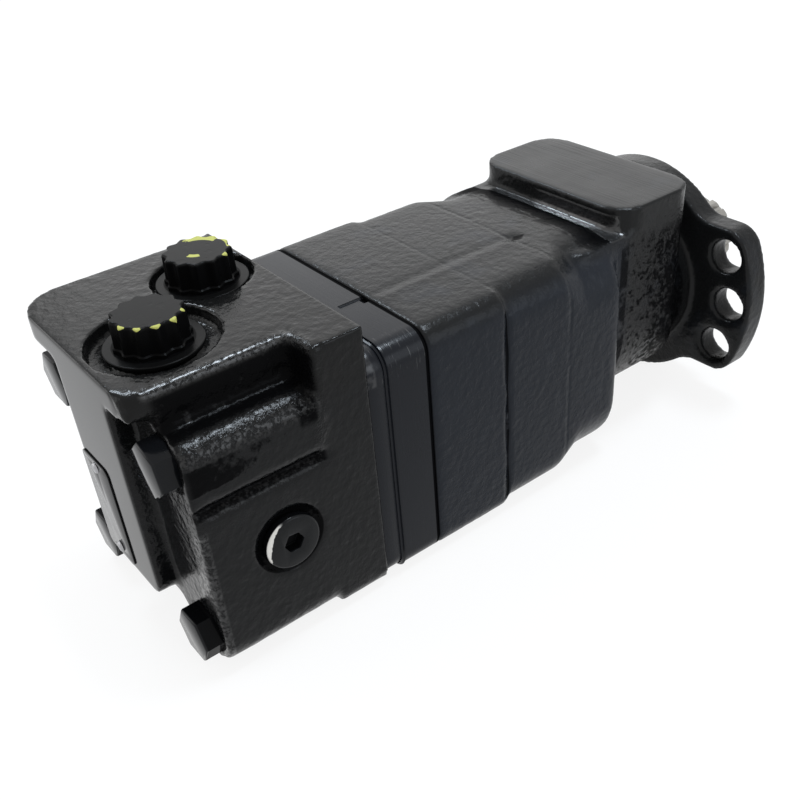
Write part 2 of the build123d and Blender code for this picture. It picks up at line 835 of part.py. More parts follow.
def bearing(back, way, bore, outer):
    """A tapered roller bearing as its cup, cone, rollers and cage."""
    lean = radians(bearing_angle)
    middle = bearing_width / 2
    axis_r = (bore + outer) / 4 + 0.2
    apex = middle + axis_r / tan(lean)
    reach = axis_r / sin(lean)
    roller_r = (outer - bore) / 2 * 0.243
    taper = atan(roller_r / reach)
    length = bearing_width * 0.67

    def x(u):
        """The station at a depth from the cone's back face."""
        return back + way * u

    def outer_race(u):
        return (apex - u) * tan(lean + taper) + race_gap

    def inner_race(u):
        return (apex - u) * tan(lean - taper) - race_gap

    cup_start = bearing_width * 0.2
    cup = turned((x(cup_start), outer_race(cup_start)), (x(bearing_width), outer_race(bearing_width)),
                 (x(bearing_width), outer / 2), (x(cup_start), outer / 2))
    large_end = apex - (reach + length / 2) * cos(lean) - roller_r * sin(lean) - 0.25
    small_end = apex - (reach - length / 2) * cos(lean) - roller_r * sin(lean) + 0.7
    lip_end = bearing_width - 0.8
    r = bore / 2
    cone = turned((x(0), r), (x(0), inner_race(0) + 1.4), (x(large_end), inner_race(large_end) + 1.4),
                  (x(large_end), inner_race(large_end)), (x(small_end), inner_race(small_end)),
                  (x(small_end), inner_race(small_end) + 0.7), (x(lip_end), inner_race(lip_end) + 0.7),
                  (x(lip_end), r))

    def roller(extra):
        """One roller in its place at the top, grown by a clearance."""
        first = reach + length / 2 + extra
        last = reach - length / 2 - extra
        start = Vector(x(apex - first * cos(lean)), 0, first * sin(lean))
        direction = Vector(way * cos(lean), 0, -sin(lean))
        big = first * tan(taper) + extra * 0.8
        small = last * tan(taper) + extra * 0.8
        shape = Cone(big, small, first - last, align=(Align.CENTER, Align.CENTER, Align.MIN))
        return Plane(start, z_dir=direction) * shape

    cage_start, cage_end = 1.0, bearing_width - 1.0
    thick = 0.6

    def mean(u):
        return (apex - u) * tan(lean)

    cage = turned((x(cage_start), mean(cage_start) - thick), (x(cage_end), mean(cage_end) - thick),
                  (x(cage_end), mean(cage_end) + thick), (x(cage_start), mean(cage_start) + thick))
    cage -= around(roller(0.15), bearing_rollers)
    return cup, cone, around(roller(0), bearing_rollers), cage


def rear_spacer():
    """The ring behind the rear cup."""
    x1 = -rear_bearing_front - bearing_width
    return ring(x1 - spacer_thickness, x1, rear_outer, rear_outer - 7)


def snap_ring(x0, bore):
    """An internal retaining ring with a gap and two ears."""
    outer = bore / 2 + snap_depth - slip
    inner = bore / 2 - snap_radial
    plan = Circle(outer) - Circle(inner)
    plan += Pos(0, inner - 1) * Rectangle(11, 5)
    plan -= Pos(0, outer) * Rectangle(4, 20)
    plan &= Circle(outer)
    plan -= [Pos(side * 3.9, inner - 1) * Circle(0.9) for side in (-1, 1)]
    return slab(plan, x0, x0 + snap_thickness)


def shaft_seal():
    """The pressure seal with a lip on the shaft."""
    x0 = -seal_back
    x1 = x0 + seal_width
    lip = seal_journal / 2 + journal_gap
    r = seal_bore / 2
    return turned((x0, r), (x1, r), (x1, lip + 1), (x0 + seal_width * 0.6, lip + 1), (x0 + 2.2, lip),
                  (x0 + 0.4, lip + 0.6), (x0 + 0.4, lip + 2), (x0 + 4, lip + 3.2), (x0 + 4, r - 2),
                  (x0, r - 2))


def seal_backup():
    """The steel washer in front of the pressure seal."""
    x0 = -seal_back + seal_width
    return ring(x0, x0 + backup_thickness, seal_bore, seal_journal + 1)


def dust_seal():
    """The wiper in the pilot's mouth."""
    x1 = pilot_length - slip
    x0 = x1 - dust_seal_width
    lip = seal_journal / 2 + journal_gap
    r = seal_bore / 2
    return turned((x0, r), (x1, r), (x1, lip + 2), (x1 - 0.2, lip), (x1 - 1.4, lip), (x0 + 1.5, lip + 2.5),
                  (x0, lip + 2.5))


front_cup, front_cone, front_rollers, front_cage = bearing(-front_bearing_back, 1, front_bore, front_outer)
rear_cup, rear_cone, rear_rollers, rear_cage = bearing(-rear_bearing_front, -1, rear_bore, rear_outer)
front_snap_x = -seal_back + seal_width + backup_thickness + 1.5 * slip
rear_snap_x = -rear_bearing_front - bearing_width - spacer_thickness - 1.5 * slip - snap_thickness

pieces = {
    "shaft_housing": shaft_housing(),
    "wear_plate": wear_plate(),
    "geroler_ring": geroler_ring(),
    "geroler_rollers": geroler_rollers(),
    "rotor_star": rotor_star(),
    "main_drive": main_drive(),
    "drive_spacer": drive_spacer(),
    "valve_drive": valve_drive(),
    "valve_plate": valve_plate(),
    "disc_valve": disc_valve(),
    "balance_ring": balance_ring(),
    "balance_seal": balance_seal(),
    "balance_spring": balance_spring(),
    "balance_pins": balance_pins(),
    "valve_housing": valve_housing(),
    "rear_port_cap": port_cap(0),
    "front_port_cap": port_cap(1),
    "drain_plug": drain_plug(),
    "drain_seal": drain_seal(),
    "cap_screws": cap_screws(),
    "nameplate": nameplate(),
    "nameplate_rivets": nameplate_rivets(),
    "body_seals": body_seals(),
    "output_shaft": output_shaft(),
    "front_bearing_cup": front_cup,
    "front_bearing_cone": front_cone,
    "front_bearing_rollers": front_rollers,
    "front_bearing_cage": front_cage,
    "rear_bearing_cup": rear_cup,
    "rear_bearing_cone": rear_cone,
    "rear_bearing_rollers": rear_rollers,
    "rear_bearing_cage": rear_cage,
    "rear_spacer": rear_spacer(),
    "rear_snap_ring": snap_ring(rear_snap_x, rear_outer),
    "shaft_seal": shaft_seal(),
    "seal_backup": seal_backup(),
    "front_snap_ring": snap_ring(front_snap_x, seal_bore),
    "dust_seal": dust_seal(),
}

os.makedirs("parts", exist_ok=True)
for name, piece in pieces.items():
    shape = Compound(children=piece) if isinstance(piece, list) else piece
    export_step(shape, f"parts/{name}.step")
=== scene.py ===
"""A black painted orbital hydraulic motor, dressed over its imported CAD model.

A bare length is in millimetres, and MM turns it into metres. The frame is the model's: the origin is the centre
of the pilot on the mounting face, +X runs out along the shaft, +Z goes up through the ports and the drain plug
looks towards -Y.
"""
import logging
import math
from dataclasses import dataclass
from enum import Enum
from typing import Any, Callable, Optional, Sequence, Union

import bmesh
import bpy
from mathutils import Matrix, Vector


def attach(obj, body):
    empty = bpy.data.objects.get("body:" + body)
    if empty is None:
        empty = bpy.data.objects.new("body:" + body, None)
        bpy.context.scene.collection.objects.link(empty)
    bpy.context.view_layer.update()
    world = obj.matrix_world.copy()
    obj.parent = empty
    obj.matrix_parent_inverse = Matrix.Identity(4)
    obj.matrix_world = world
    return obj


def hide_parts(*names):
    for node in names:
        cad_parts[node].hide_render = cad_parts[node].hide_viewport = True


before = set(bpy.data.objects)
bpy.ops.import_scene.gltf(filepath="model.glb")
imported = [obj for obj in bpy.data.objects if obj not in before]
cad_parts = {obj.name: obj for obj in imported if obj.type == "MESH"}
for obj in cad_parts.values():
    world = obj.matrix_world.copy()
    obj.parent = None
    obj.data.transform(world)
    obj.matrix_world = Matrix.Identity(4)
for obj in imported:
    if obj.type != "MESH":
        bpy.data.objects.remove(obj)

LOG = logging.getLogger("hydraulic_motor")
MM = 0.001
Object = bpy.types.Object
Material = bpy.types.Material
Socket = bpy.types.NodeSocket
Triple = tuple[float, float, float]
Colour = Triple
Number = Union["Value", float, int]

# Places that the shapes and the finishes share
JOINT_X = -163.6
SLAB_X = -206.9
REAR_X = -260.9
PAD_TOP = 53.5
PARTING_Y = -16.0
PLUG = (-223.6, -4.5)
PORTS = ((-237.4, -7.8), (-206.1, 19.0))

COAT_ROUGHNESS = 0.2
# Dead black, mixed into surfaces as painted shade in hollows, gaps and creases and as painted dark reflections
PAINTED_SHADE_BLACK = (0.0015, 0.0015, 0.0017)


class Limit(Enum):
    """Which edges a rounding takes."""

    SHARP = 32.0
    VERY_SHARP = 55.0


# ------------------------------------------------------------------ shader building


class Value:
    """A number that varies over a surface, held as a node's output socket."""

    def __init__(self, tree: "Tree", socket: Socket) -> None:
        """Wrap a socket of a tree.

        Args:
            tree: the material's tree.
            socket: an output that gives a number.
        """
        self.tree = tree
        self.socket = socket

    def _maths(self, operation: str, *others: Number, swap: bool = False) -> "Value":
        """Add a Math node on this value and the others, this one second if they swap."""
        terms: list[Number] = [self, *others]
        if swap:
            terms[0], terms[1] = terms[1], terms[0]
        node = self.tree.node("ShaderNodeMath", dict(enumerate(terms)), operation=operation)
        return Value(self.tree, node.outputs[0])

    def __add__(self, other: Number) -> "Value":
        """Sum."""
        return self._maths("ADD", other)

    __radd__ = __add__

    def __sub__(self, other: Number) -> "Value":
        """Difference."""
        return self._maths("SUBTRACT", other)

    def __rsub__(self, other: Number) -> "Value":
        """Difference from a plain number."""
        return self._maths("SUBTRACT", other, swap=True)

    def __mul__(self, other: Number) -> "Value":
        """Product."""
        return self._maths("MULTIPLY", other)

    def root(self) -> "Value":
        """Square root."""
        return self._maths("SQRT")

    def size(self) -> "Value":
        """The number without its sign."""
        return self._maths("ABSOLUTE")

    def least(self, other: Number) -> "Value":
        """The smaller of two."""
        return self._maths("MINIMUM", other)

    def most(self, other: Number) -> "Value":
        """The larger of two."""
        return self._maths("MAXIMUM", other)

    def angle_to(self, across: "Value") -> "Value":
        """The angle whose sine goes with this value and whose cosine goes with across."""
        return self._maths("ARCTAN2", across)

    def step(self, low: float, high: float) -> "Value":
        """A smooth rise from 0 at low to 1 at high, or a fall where high is below low."""
        falls = high < low
        inputs = {"Value": self, "From Min": min(low, high), "From Max": max(low, high)}
        node = self.tree.node("ShaderNodeMapRange", inputs, interpolation_type="SMOOTHSTEP", clamp=True)
        rise = Value(self.tree, node.outputs["Result"])
        return 1 - rise if falls else rise

    def near(self, centre: float, reach: float) -> "Value":
        """A smooth bump of height 1 about a centre, 0 beyond its reach."""
        return (self - centre).size().step(reach, 0)

    def between(self, low: float, high: float, soft: float) -> "Value":
        """1 from low to high, with soft ends."""
        return self.step(low - soft, low) * self.step(high + soft, high)


class Tree:
    """The node tree of one material or world."""

    def __init__(self, name: str, world: bool = False) -> None:
        """Make a material, or a world, with an empty tree."""
        self.owner = (bpy.data.worlds if world else bpy.data.materials).new(name)
        self.owner.use_nodes = True
        self.nodes = self.owner.node_tree.nodes
        self.links = self.owner.node_tree.links
        self.nodes.clear()
        self._place: Optional[tuple[Value, Value, Value]] = None

    def node(self, kind: str, inputs: dict[Union[str, int], Any], **settings: Any) -> bpy.types.Node:
        """Add a node.

        Args:
            kind: the node's type.
            inputs: socket names or numbers with their numbers, colours or links.
            settings: its properties, set first.

        Returns:
            The node.
        """
        made = self.nodes.new(kind)
        for key, value in settings.items():
            setattr(made, key, value)
        for key, value in inputs.items():
            socket = made.inputs[key]
            if isinstance(value, Value):
                value = value.socket
            if isinstance(value, Socket):
                self.links.new(value, socket)
            else:
                is_colour = isinstance(value, tuple) and len(value) == 3
                socket.default_value = (*value, 1) if is_colour else value
        return made

    def place(self) -> tuple[Value, Value, Value]:
        """The surface point's X, Y and Z in millimetres."""
        if self._place is None:
            coordinates = self.node("ShaderNodeTexCoord", {})
            split = self.node("ShaderNodeSeparateXYZ", {0: coordinates.outputs["Object"]})
            self._place = tuple(Value(self, split.outputs[k]) * (1 / MM) for k in range(3))
        return self._place

    def vector(self, x: Number, y: Number, z: Number) -> Socket:
        """A vector from three numbers."""
        return self.node("ShaderNodeCombineXYZ", {0: x, 1: y, 2: z}).outputs[0]

    def noise(self, scale: float, detail: float = 2.0, rough: float = 0.5,
              stretch: Sequence[float] = (1.0, 1.0, 1.0), shift: float = 0.0) -> Value:
        """Soft noise over the surface.

        Args:
            scale: waves per metre.
            detail: how many finer octaves.
            rough: the weight of each finer octave.
            stretch: a factor for each axis.
            shift: an offset that gives another pattern.

        Returns:
            A value about 0.5.
        """
        x, y, z = self.place()
        where = self.vector(x * (stretch[0] * MM) + shift, y * (stretch[1] * MM), z * (stretch[2] * MM))
        node = self.node("ShaderNodeTexNoise",
                         {"Vector": where, "Scale": scale, "Detail": detail, "Roughness": rough})
        return Value(self, node.outputs["Fac"])

    def cells(self, scale: float) -> Value:
        """The distance to the nearest of scattered points."""
        where = self.vector(*(part * MM for part in self.place()))
        node = self.node("ShaderNodeTexVoronoi", {"Vector": where, "Scale": scale})
        return Value(self, node.outputs["Distance"])

    def mix(self, share: Number, first: Any, second: Any) -> Socket:
        """Mix two colours, or their sockets, with this share of the second."""
        return self.node("ShaderNodeMix", {"Factor": share, 6: first, 7: second}, data_type="RGBA").outputs[2]

    def surface(self, colour: Any, rough: Number, height: Value, metal: Number = 0.0, gloss: float = 0.5,
                coat: Number = 0.0, painted_shade: Optional[Value] = None) -> Material:
        """End the tree in a surface shader.

        Args:
            colour: the base colour or its socket.
            rough: the roughness.
            height: how high the surface stands, in millimetres.
            metal: how metallic it is.
            gloss: the specular level.
            coat: the weight of a clear coat, for grains that glint.
            painted_shade: where dead black is painted in as shade, 0 to 1.

        Returns:
            The material.
        """
        bump = self.node("ShaderNodeBump", {"Height": height, "Distance": MM, "Strength": 1.0})
        end = self.node("ShaderNodeBsdfPrincipled", {
            "Base Color": colour, "Roughness": rough, "Metallic": metal, "Specular IOR Level": gloss,
            "Coat Weight": coat, "Coat Roughness": COAT_ROUGHNESS, "Normal": bump.outputs[0],
        }).outputs[0]
        if painted_shade is not None:
            end = self.blend(painted_shade, end, self.node("ShaderNodeBsdfDiffuse", {"Color": PAINTED_SHADE_BLACK}).outputs[0])
        self.node("ShaderNodeOutputMaterial", {"Surface": end})
        return self.owner

    def blend(self, share: Value, first: Socket, second: Socket) -> Socket:
        """Mix two shaders."""
        return self.node("ShaderNodeMixShader", {0: share, 1: first, 2: second}).outputs[0]


# ------------------------------------------------------------------ finishes


@dataclass(frozen=True)
class CastPaint:
    """Semi-gloss black paint over a sand casting."""

    name: str
    # colour is the paint on the sides with a painted sheen in it; upper is the paint on the top
    colour: Colour = (0.0042, 0.0044, 0.0047)
    upper: Colour = (0.0044, 0.0044, 0.0044)
    gloss: float = 0.14
    rough: float = 0.17
    lump_scale: float = 300.0
    lump_height: float = 0.30
    grain_height: float = 0.10

    def cast_height(self, tree: Tree) -> Value:
        """The cast texture's height in millimetres."""
        lumps = tree.noise(self.lump_scale, 2.5, 0.55)
        grain = tree.noise(self.lump_scale * 3.1, 2.0, 0.6, shift=3.0)
        pits = tree.cells(self.lump_scale * 1.3)
        return lumps * self.lump_height + grain * self.grain_height + pits * (self.lump_height * 0.35)

    def tone(self, tree: Tree) -> Socket:
        """The paint's colour with faint dust and handling marks, and a painted sheen on the sides below the top.
        """
        dust = tree.noise(60.0, 4.0, 0.6, shift=7.0).step(0.52, 0.75) * 0.35
        x, _, z = tree.place()
        # Painted sheen: the sides below the top, behind the neck, take the side colour, and the top keeps upper
        side = z.step(46, 38) * x.step(-56, -66)
        paint = tree.mix(side, self.upper, self.colour)
        return tree.mix(dust, paint, tuple(c * 1.6 + 0.002 for c in self.colour))


@dataclass(frozen=True)
class ShaftHousingPaint(CastPaint):
    """The shaft housing's paint, with its milled pad, parting step and mould seams, and painted shade in its
    hollows, gaps and dark reflections.
    """

    # The sides' bluer colour is a painted bluish sheen, and the top keeps the plain upper colour
    colour: Colour = (0.0065, 0.0085, 0.0125)
    upper: Colour = (0.0066, 0.0068, 0.0070)
    rough: float = 0.26
    lump_height: float = 0.24
    flange_x: float = -13.0
    pad_x: float = -60.0
    ridge_end: float = 68.5
    seam_places: tuple[float, float] = (35.0, 66.0)

    def build(self) -> Material:
        """Make the material."""
        tree = Tree(self.name)
        x, y, z = tree.place()
        wobble = (tree.noise(45.0, 3.0, 0.6, shift=11.0) - 0.5) * 2.4
        pad = z.step(PAD_TOP - 0.5, PAD_TOP - 0.2)
        face = x.step(-0.6, -0.2).most(x.step(JOINT_X + 0.5, JOINT_X + 0.2))
        cast = 1 - pad.most(face)
        height = self.cast_height(tree) * cast
        side = z.step(44, 36)
        first, second = ((x + wobble * share).near(JOINT_X + place, 1.5)
                         for place, share in zip(self.seam_places, (0.35, 0.8)))
        broken = tree.noise(110.0, 3.0, 0.65, shift=19.0)
        height = height - first * (side * 0.5 + 0.08) - second * broken.step(0.3, 0.55) * 0.14
        coarse = tree.noise(430.0, 3.0, 0.7, shift=23.0)
        below = z.step(43, 37) * y.step(-20, -30)
        neck = x.between(JOINT_X + 100, -24, 3)
        height = height + coarse * neck * z.step(45, 38) * 0.5
        patchy = tree.noise(38.0, 2.0, 0.6, shift=43.0)
        milled = tree.noise(1.0, 3.0, 0.6, stretch=(900.0, 16.0, 16.0), shift=5.0) * patchy.step(0.3, 0.65)
        height = height + milled * pad * 0.16
        fade = x.step(self.pad_x + 4, -30)
        # Painted shade: mottled dark reflections on the neck's near side, denser towards the flange, a dark band
        # at the step between the shoulder and the neck, and dark at the neck's end by the flange
        mottled_shade = (coarse + fade * 0.16).step(0.5, 0.66) * x.between(-58, -18, 3)
        corner = x.between(-63.5, -60, 0.8) * broken.step(0.3, 0.45) * 0.75
        dark_end = x.between(-28, -19, 1.5) * 0.6
        # Painted shade along the flange's back face
        back = x.near(self.flange_x, 1.0) * 0.55
        # Painted shade in the crack of the near mould seam
        crack = (x + wobble * 0.35).near(JOINT_X + self.seam_places[0], 0.9) * side
        crack = crack.step(0.1, 0.5) * broken.step(0.28, 0.42) * 0.85
        # Painted shade in the gap at the joint with the ring
        joint = (x + wobble * 0.12).near(JOINT_X, 1.3).step(0.05, 0.5) * 0.95
        painted_shade = (below * (mottled_shade * 0.85).most(corner).most(dark_end)).most(back).most(crack).most(joint)
        fillet = x.between(-68.5, -62, 0.8) * z.between(44, 50, 1)
        fillet = fillet * y.step(8, 0) * y.step(-44, -40)
        height = height + coarse * fillet * 0.7
        glint = fillet * tree.noise(900.0, 2.0, 0.6, shift=29.0).step(0.3, 0.5)
        # Painted shade in the small notch where the parting step ends
        wedge = (y - PARTING_Y + 0.5).size() + (x - JOINT_X - self.ridge_end).size() * 0.6
        painted_shade = painted_shade.most(wedge.step(2.6, 1.6) * z.step(43, 45) * 0.7)
        # Painted shade: mottled dark reflections of the pad's wall on the top in front of the pad
        ripples = tree.noise(1.0, 3.0, 0.65, stretch=(520.0, 130.0, 130.0), shift=47.0)
        shade = x.step(-86, -73) * x.step(-68.2, -69)
        shade = shade * z.between(44, 49, 1) * y.step(-44, -38)
        painted_shade = painted_shade.most((ripples + shade * 0.4).step(0.56, 0.76) * shade.root() * 0.9)
        return tree.surface(self.tone(tree), self.rough + milled * pad * 0.12, height, gloss=self.gloss,
                            coat=glint, painted_shade=painted_shade)


@dataclass(frozen=True)
class ValveHousingPaint(CastPaint):
    """The valve housing's paint, rougher where the mould was rough, with painted shade in its hollows and dark
    reflections on its near side.
    """

    wall_y: float = -35.0
    top_z: float = 59.5

    def build(self) -> Material:
        """Make the material."""
        tree = Tree(self.name)
        x, y, z = tree.place()
        rear = x.step(REAR_X + 0.5, REAR_X + 0.2)
        top = z.step(56, 58.5)
        height = self.cast_height(tree) * (1 - rear) * (1 - top * 0.35)
        along = x.between(REAR_X + 7, SLAB_X, 2)
        outside = y.step(-33, -35)
        crest = z.near(40.5, 5) * y.step(-35, -38)
        lower = z.near(20.9, 4) * y.step(-44, -46)
        rim = z.near(self.top_z - 0.8, 3.2) * y.near(self.wall_y + 0.8, 3.5)
        corner = x.near(SLAB_X, 5) * z.step(20, 30) * outside
        shoulder = x.between(-255.5, -251, 1) * y.step(-37, -40) * z.step(16, 12)
        rough_zone = (along * crest.most(lower).most(rim)).most(corner).most(shoulder * 0.6).least(1.0)
        coarse = tree.noise(420.0, 3.0, 0.7, shift=31.0)
        height = height + coarse * rough_zone * 0.75
        fine = tree.noise(800.0, 2.0, 0.6, shift=37.0)
        glint = along * (rim * fine.step(0.38, 0.58)).most(crest.most(lower * 0.7) * fine.step(0.46, 0.6) * 0.55)
        glint = glint.most(shoulder * fine.step(0.42, 0.6) * 0.6).least(1.0)
        patchy = tree.noise(150.0, 4.0, 0.7, shift=41.0)
        # Painted shade on the near wall under the block's top edge, mottled under the boss, in the near groove and
        # in the corner beside the slab
        wall = z.between(44.8, 55.5, 1.6) * outside * patchy.step(0.25, 0.42)
        under = z.between(29, 36.5, 3) * outside * (patchy + x.step(-222, -246) * 0.3)
        furrow = z.near(20.4, 4.2) * y.step(-43, -45) + patchy * 0.5
        pit = x.between(SLAB_X - 6, SLAB_X - 1, 1.5) * z.between(36, 56, 3)
        painted_shade = along * (wall * 0.85).most(under.step(0.58, 0.74) * 0.8).most(furrow.step(0.72, 0.95) * 0.85)
        # Painted shade on the wall of the drain plug's recess
        across, rise = x - PLUG[0], z - PLUG[1]
        ring = (across * across + rise * rise).root().between(9.5, 12.6, 0.5)
        recess = ring * y.step(-47.4, -47.0) * y.step(-42, -44) * patchy.step(0.1, 0.3)
        # The painted shade stops short of the rear and gives way where the grains glint
        painted_shade = painted_shade * x.step(-254, -251)
        painted_shade = painted_shade.most(recess * 0.8).most(pit * outside * patchy.step(0.3, 0.5) * 0.85) * (1 - glint * 0.9)
        return tree.surface(self.tone(tree), self.rough - rear * 0.08, height, gloss=self.gloss, coat=glint,
                            painted_shade=painted_shade)


@dataclass(frozen=True)
class GroundPaint:
    """Thin black paint over ground steel, with the grinding lines showing and painted shade in the joint gap."""

    name: str
    colour: Colour = (0.0055, 0.0065, 0.009)
    rough: float = 0.18
    gloss: float = 0.15
    line_height: float = 0.03

    def build(self) -> Material:
        """Make the material."""
        tree = Tree(self.name)
        lines = tree.noise(1.0, 2.0, 0.6, stretch=(1900.0, 14.0, 14.0))
        peel = tree.noise(160.0, 2.0)
        height = lines * self.line_height + peel * 0.02
        x, y, z = tree.place()
        # Painted shade in the gap at the joint with the shaft housing
        joint = x.near(JOINT_X, 1.3).step(0.05, 0.4) * 0.95
        corner = y.between(-47, -38, 1) * z.between(36, 47, 1)
        dashes = tree.noise(1.0, 2.0, 0.6, stretch=(1400.0, 150.0, 150.0), shift=51.0).step(0.6, 0.7)
        plate = x.step(JOINT_X - 20, JOINT_X - 21) * tree.noise(250.0).step(0.35, 0.55)
        return tree.surface(self.colour, self.rough + lines * 0.14, height, gloss=self.gloss,
                            coat=corner * dashes.most(plate) * 0.65, painted_shade=joint)


@dataclass(frozen=True)
class SmoothPaint:
    """Black paint over smooth steel, with worn edges where asked."""

    name: str
    colour: Colour = (0.0045, 0.005, 0.006)
    rough: float = 0.2
    gloss: float = 0.16
    marks: float = 0.08
    peel_height: float = 0.02

    def build(self) -> Material:
        """Make the material."""
        tree = Tree(self.name)
        peel = tree.noise(350.0, 2.0)
        worn = tree.noise(120.0, 4.0, 0.65, shift=2.0)
        return tree.surface(self.colour, self.rough + worn * self.marks, peel * self.peel_height,
                            gloss=self.gloss, painted_shade=self.painted_shade(tree))

    def painted_shade(self, tree: Tree) -> Optional[Value]:
        """Where shade is painted in as dead black: nowhere."""
        return None


@dataclass(frozen=True)
class ScrewPaint(SmoothPaint):
    """The screws' paint, with painted shade on the heads' flats, heaviest on the lower heads."""

    face_x: float = -258.6

    def painted_shade(self, tree: Tree) -> Optional[Value]:
        """Where shade is painted in as dead black: behind the heads' outer faces, heaviest on the lower heads."""
        x, _, z = tree.place()
        return x.step(self.face_x, self.face_x + 0.3) * (z.step(0, -20) * 0.5 + 0.15)


@dataclass(frozen=True)
class Patch:
    """A trace of paint on a cap: where it lies about the cap's axis."""

    middle: float
    reach: float
    inner: float = 10.5
    outer: float = 13.0
    depth: float = 0.9

    def mask(self, angle: Value, radius: Value, drop: Value) -> Value:
        """1 on the patch, which narrows downwards.

        Args:
            angle: the angle about the axis.
            radius: the distance from the axis.
            drop: the depth below the top.

        Returns:
            The mask.
        """
        reach = math.radians(self.reach)
        off = (angle - math.radians(self.middle)).size() + drop * (reach / self.depth)
        return off.step(reach, reach * 0.4) * radius.between(self.inner, self.outer, 0.4)


@dataclass(frozen=True)
class CapPlastic:
    """Black moulded plastic with traces of yellow paint at the rim of the grip, and painted shade down the grip's
    sides.
    """

    name: str
    centre: tuple[float, float]
    top_z: float
    patches: tuple[Patch, ...]
    fade: float = 2.6
    colour: Colour = (0.0035, 0.0035, 0.0035)
    yellow: Colour = (0.36, 0.365, 0.10)
    grip_radius: float = 12.7

    def build(self) -> Material:
        """Make the material."""
        tree = Tree(self.name)
        x, y, z = tree.place()
        across, along = x - self.centre[0], y - self.centre[1]
        radius = (across * across + along * along).root()
        angle = along.angle_to(across)
        worn = tree.noise(620.0, 3.0, 0.65)
        drop = (self.top_z - 0.3 - z).most(0.0)
        paint = None
        for patch in self.patches:
            mask = patch.mask(angle, radius, drop)
            paint = mask if paint is None else paint.most(mask)
        high = z.step(self.top_z - self.fade, self.top_z - self.fade * 0.6)
        paint = (paint * high + (worn - 0.5) * 1.3).step(0.46, 0.56) * high
        scuffs = tree.noise(500.0, 3.0, 0.7, shift=4.0)
        top = z.step(self.top_z - 0.5, self.top_z - 0.1)
        marks = tree.noise(210.0, 2.0, shift=9.0).step(0.58, 0.66) * top
        height = scuffs * 0.012 - marks * 0.02
        colour = tree.mix(paint, self.colour, self.yellow)
        # Painted shade down the grip's sides below its top, except on the yellow
        side = z.step(self.top_z - 0.6, self.top_z - 1.2) * (1 - paint)
        side = side * radius.step(self.grip_radius + 0.4, self.grip_radius)
        return tree.surface(colour, 0.25 + scuffs * 0.1 + paint * 0.2, height, gloss=0.06, painted_shade=side * 0.55)


@dataclass(frozen=True)
class ChippedPaint:
    """The drain plug's paint, chipped to bright metal along one side of the rim, with painted shade on its side
    behind the face.
    """

    name: str
    centre: tuple[float, float]
    chip_radius: float
    face_y: float = -49.6
    middle: float = 158.0
    reach: float = 62.0
    colour: Colour = (0.0045, 0.005, 0.0055)
    steel: Colour = (0.62, 0.61, 0.58)

    def build(self) -> Material:
        """Make the material."""
        tree = Tree(self.name)
        x, y, z = tree.place()
        across, rise = x - self.centre[0], z - self.centre[1]
        radius = (across * across + rise * rise).root()
        turn = (rise * -1).angle_to(across * -1)
        ragged = tree.noise(420.0, 3.0, 0.65)
        window = turn.near(math.radians(self.middle - 180), math.radians(self.reach))
        edge = radius + (ragged - 0.5) * 1.6 + window * 1.3
        chip = edge.step(self.chip_radius, self.chip_radius + 0.25) * window.step(0.05, 0.3)
        chip = chip * y.step(self.face_y + 1.0, self.face_y + 0.6)
        height = ragged * 0.02 - chip * 0.06
        # Painted shade on the plug's side behind its face, down in the recess
        side = y.step(self.face_y + 0.5, self.face_y + 0.9) * (1 - chip) * 0.7
        return tree.surface(tree.mix(chip, self.colour, self.steel), 0.22 + chip * 0.12, height,
                            metal=chip * 0.9, gloss=0.14, painted_shade=side)


@dataclass(frozen=True)
class Steel:
    """Bare steel, turned or ground."""

    name: str
    colour: Colour = (0.50, 0.49, 0.47)
    rough: float = 0.3
    lines: Sequence[float] = (1800.0, 12.0, 12.0)

    def build(self) -> Material:
        """Make the material."""
        tree = Tree(self.name)
        turned = tree.noise(1.0, 2.0, 0.6, stretch=self.lines)
        stain = tree.noise(70.0, 3.0, 0.6, shift=6.0)
        colour = tree.mix(stain.step(0.5, 0.8) * 0.4, self.colour, tuple(c * 0.7 for c in self.colour))
        return tree.surface(colour, self.rough + turned * 0.12, turned * 0.008, metal=1.0)


@dataclass(frozen=True)
class Rubber:
    """Black oil resistant rubber."""

    name: str
    colour: Colour = (0.018, 0.018, 0.018)

    def build(self) -> Material:
        """Make the material."""
        tree = Tree(self.name)
        grain = tree.noise(700.0, 3.0, 0.6)
        return tree.surface(self.colour, 0.55 + grain * 0.1, grain * 0.01, gloss=0.35)


# ------------------------------------------------------------------ modelling


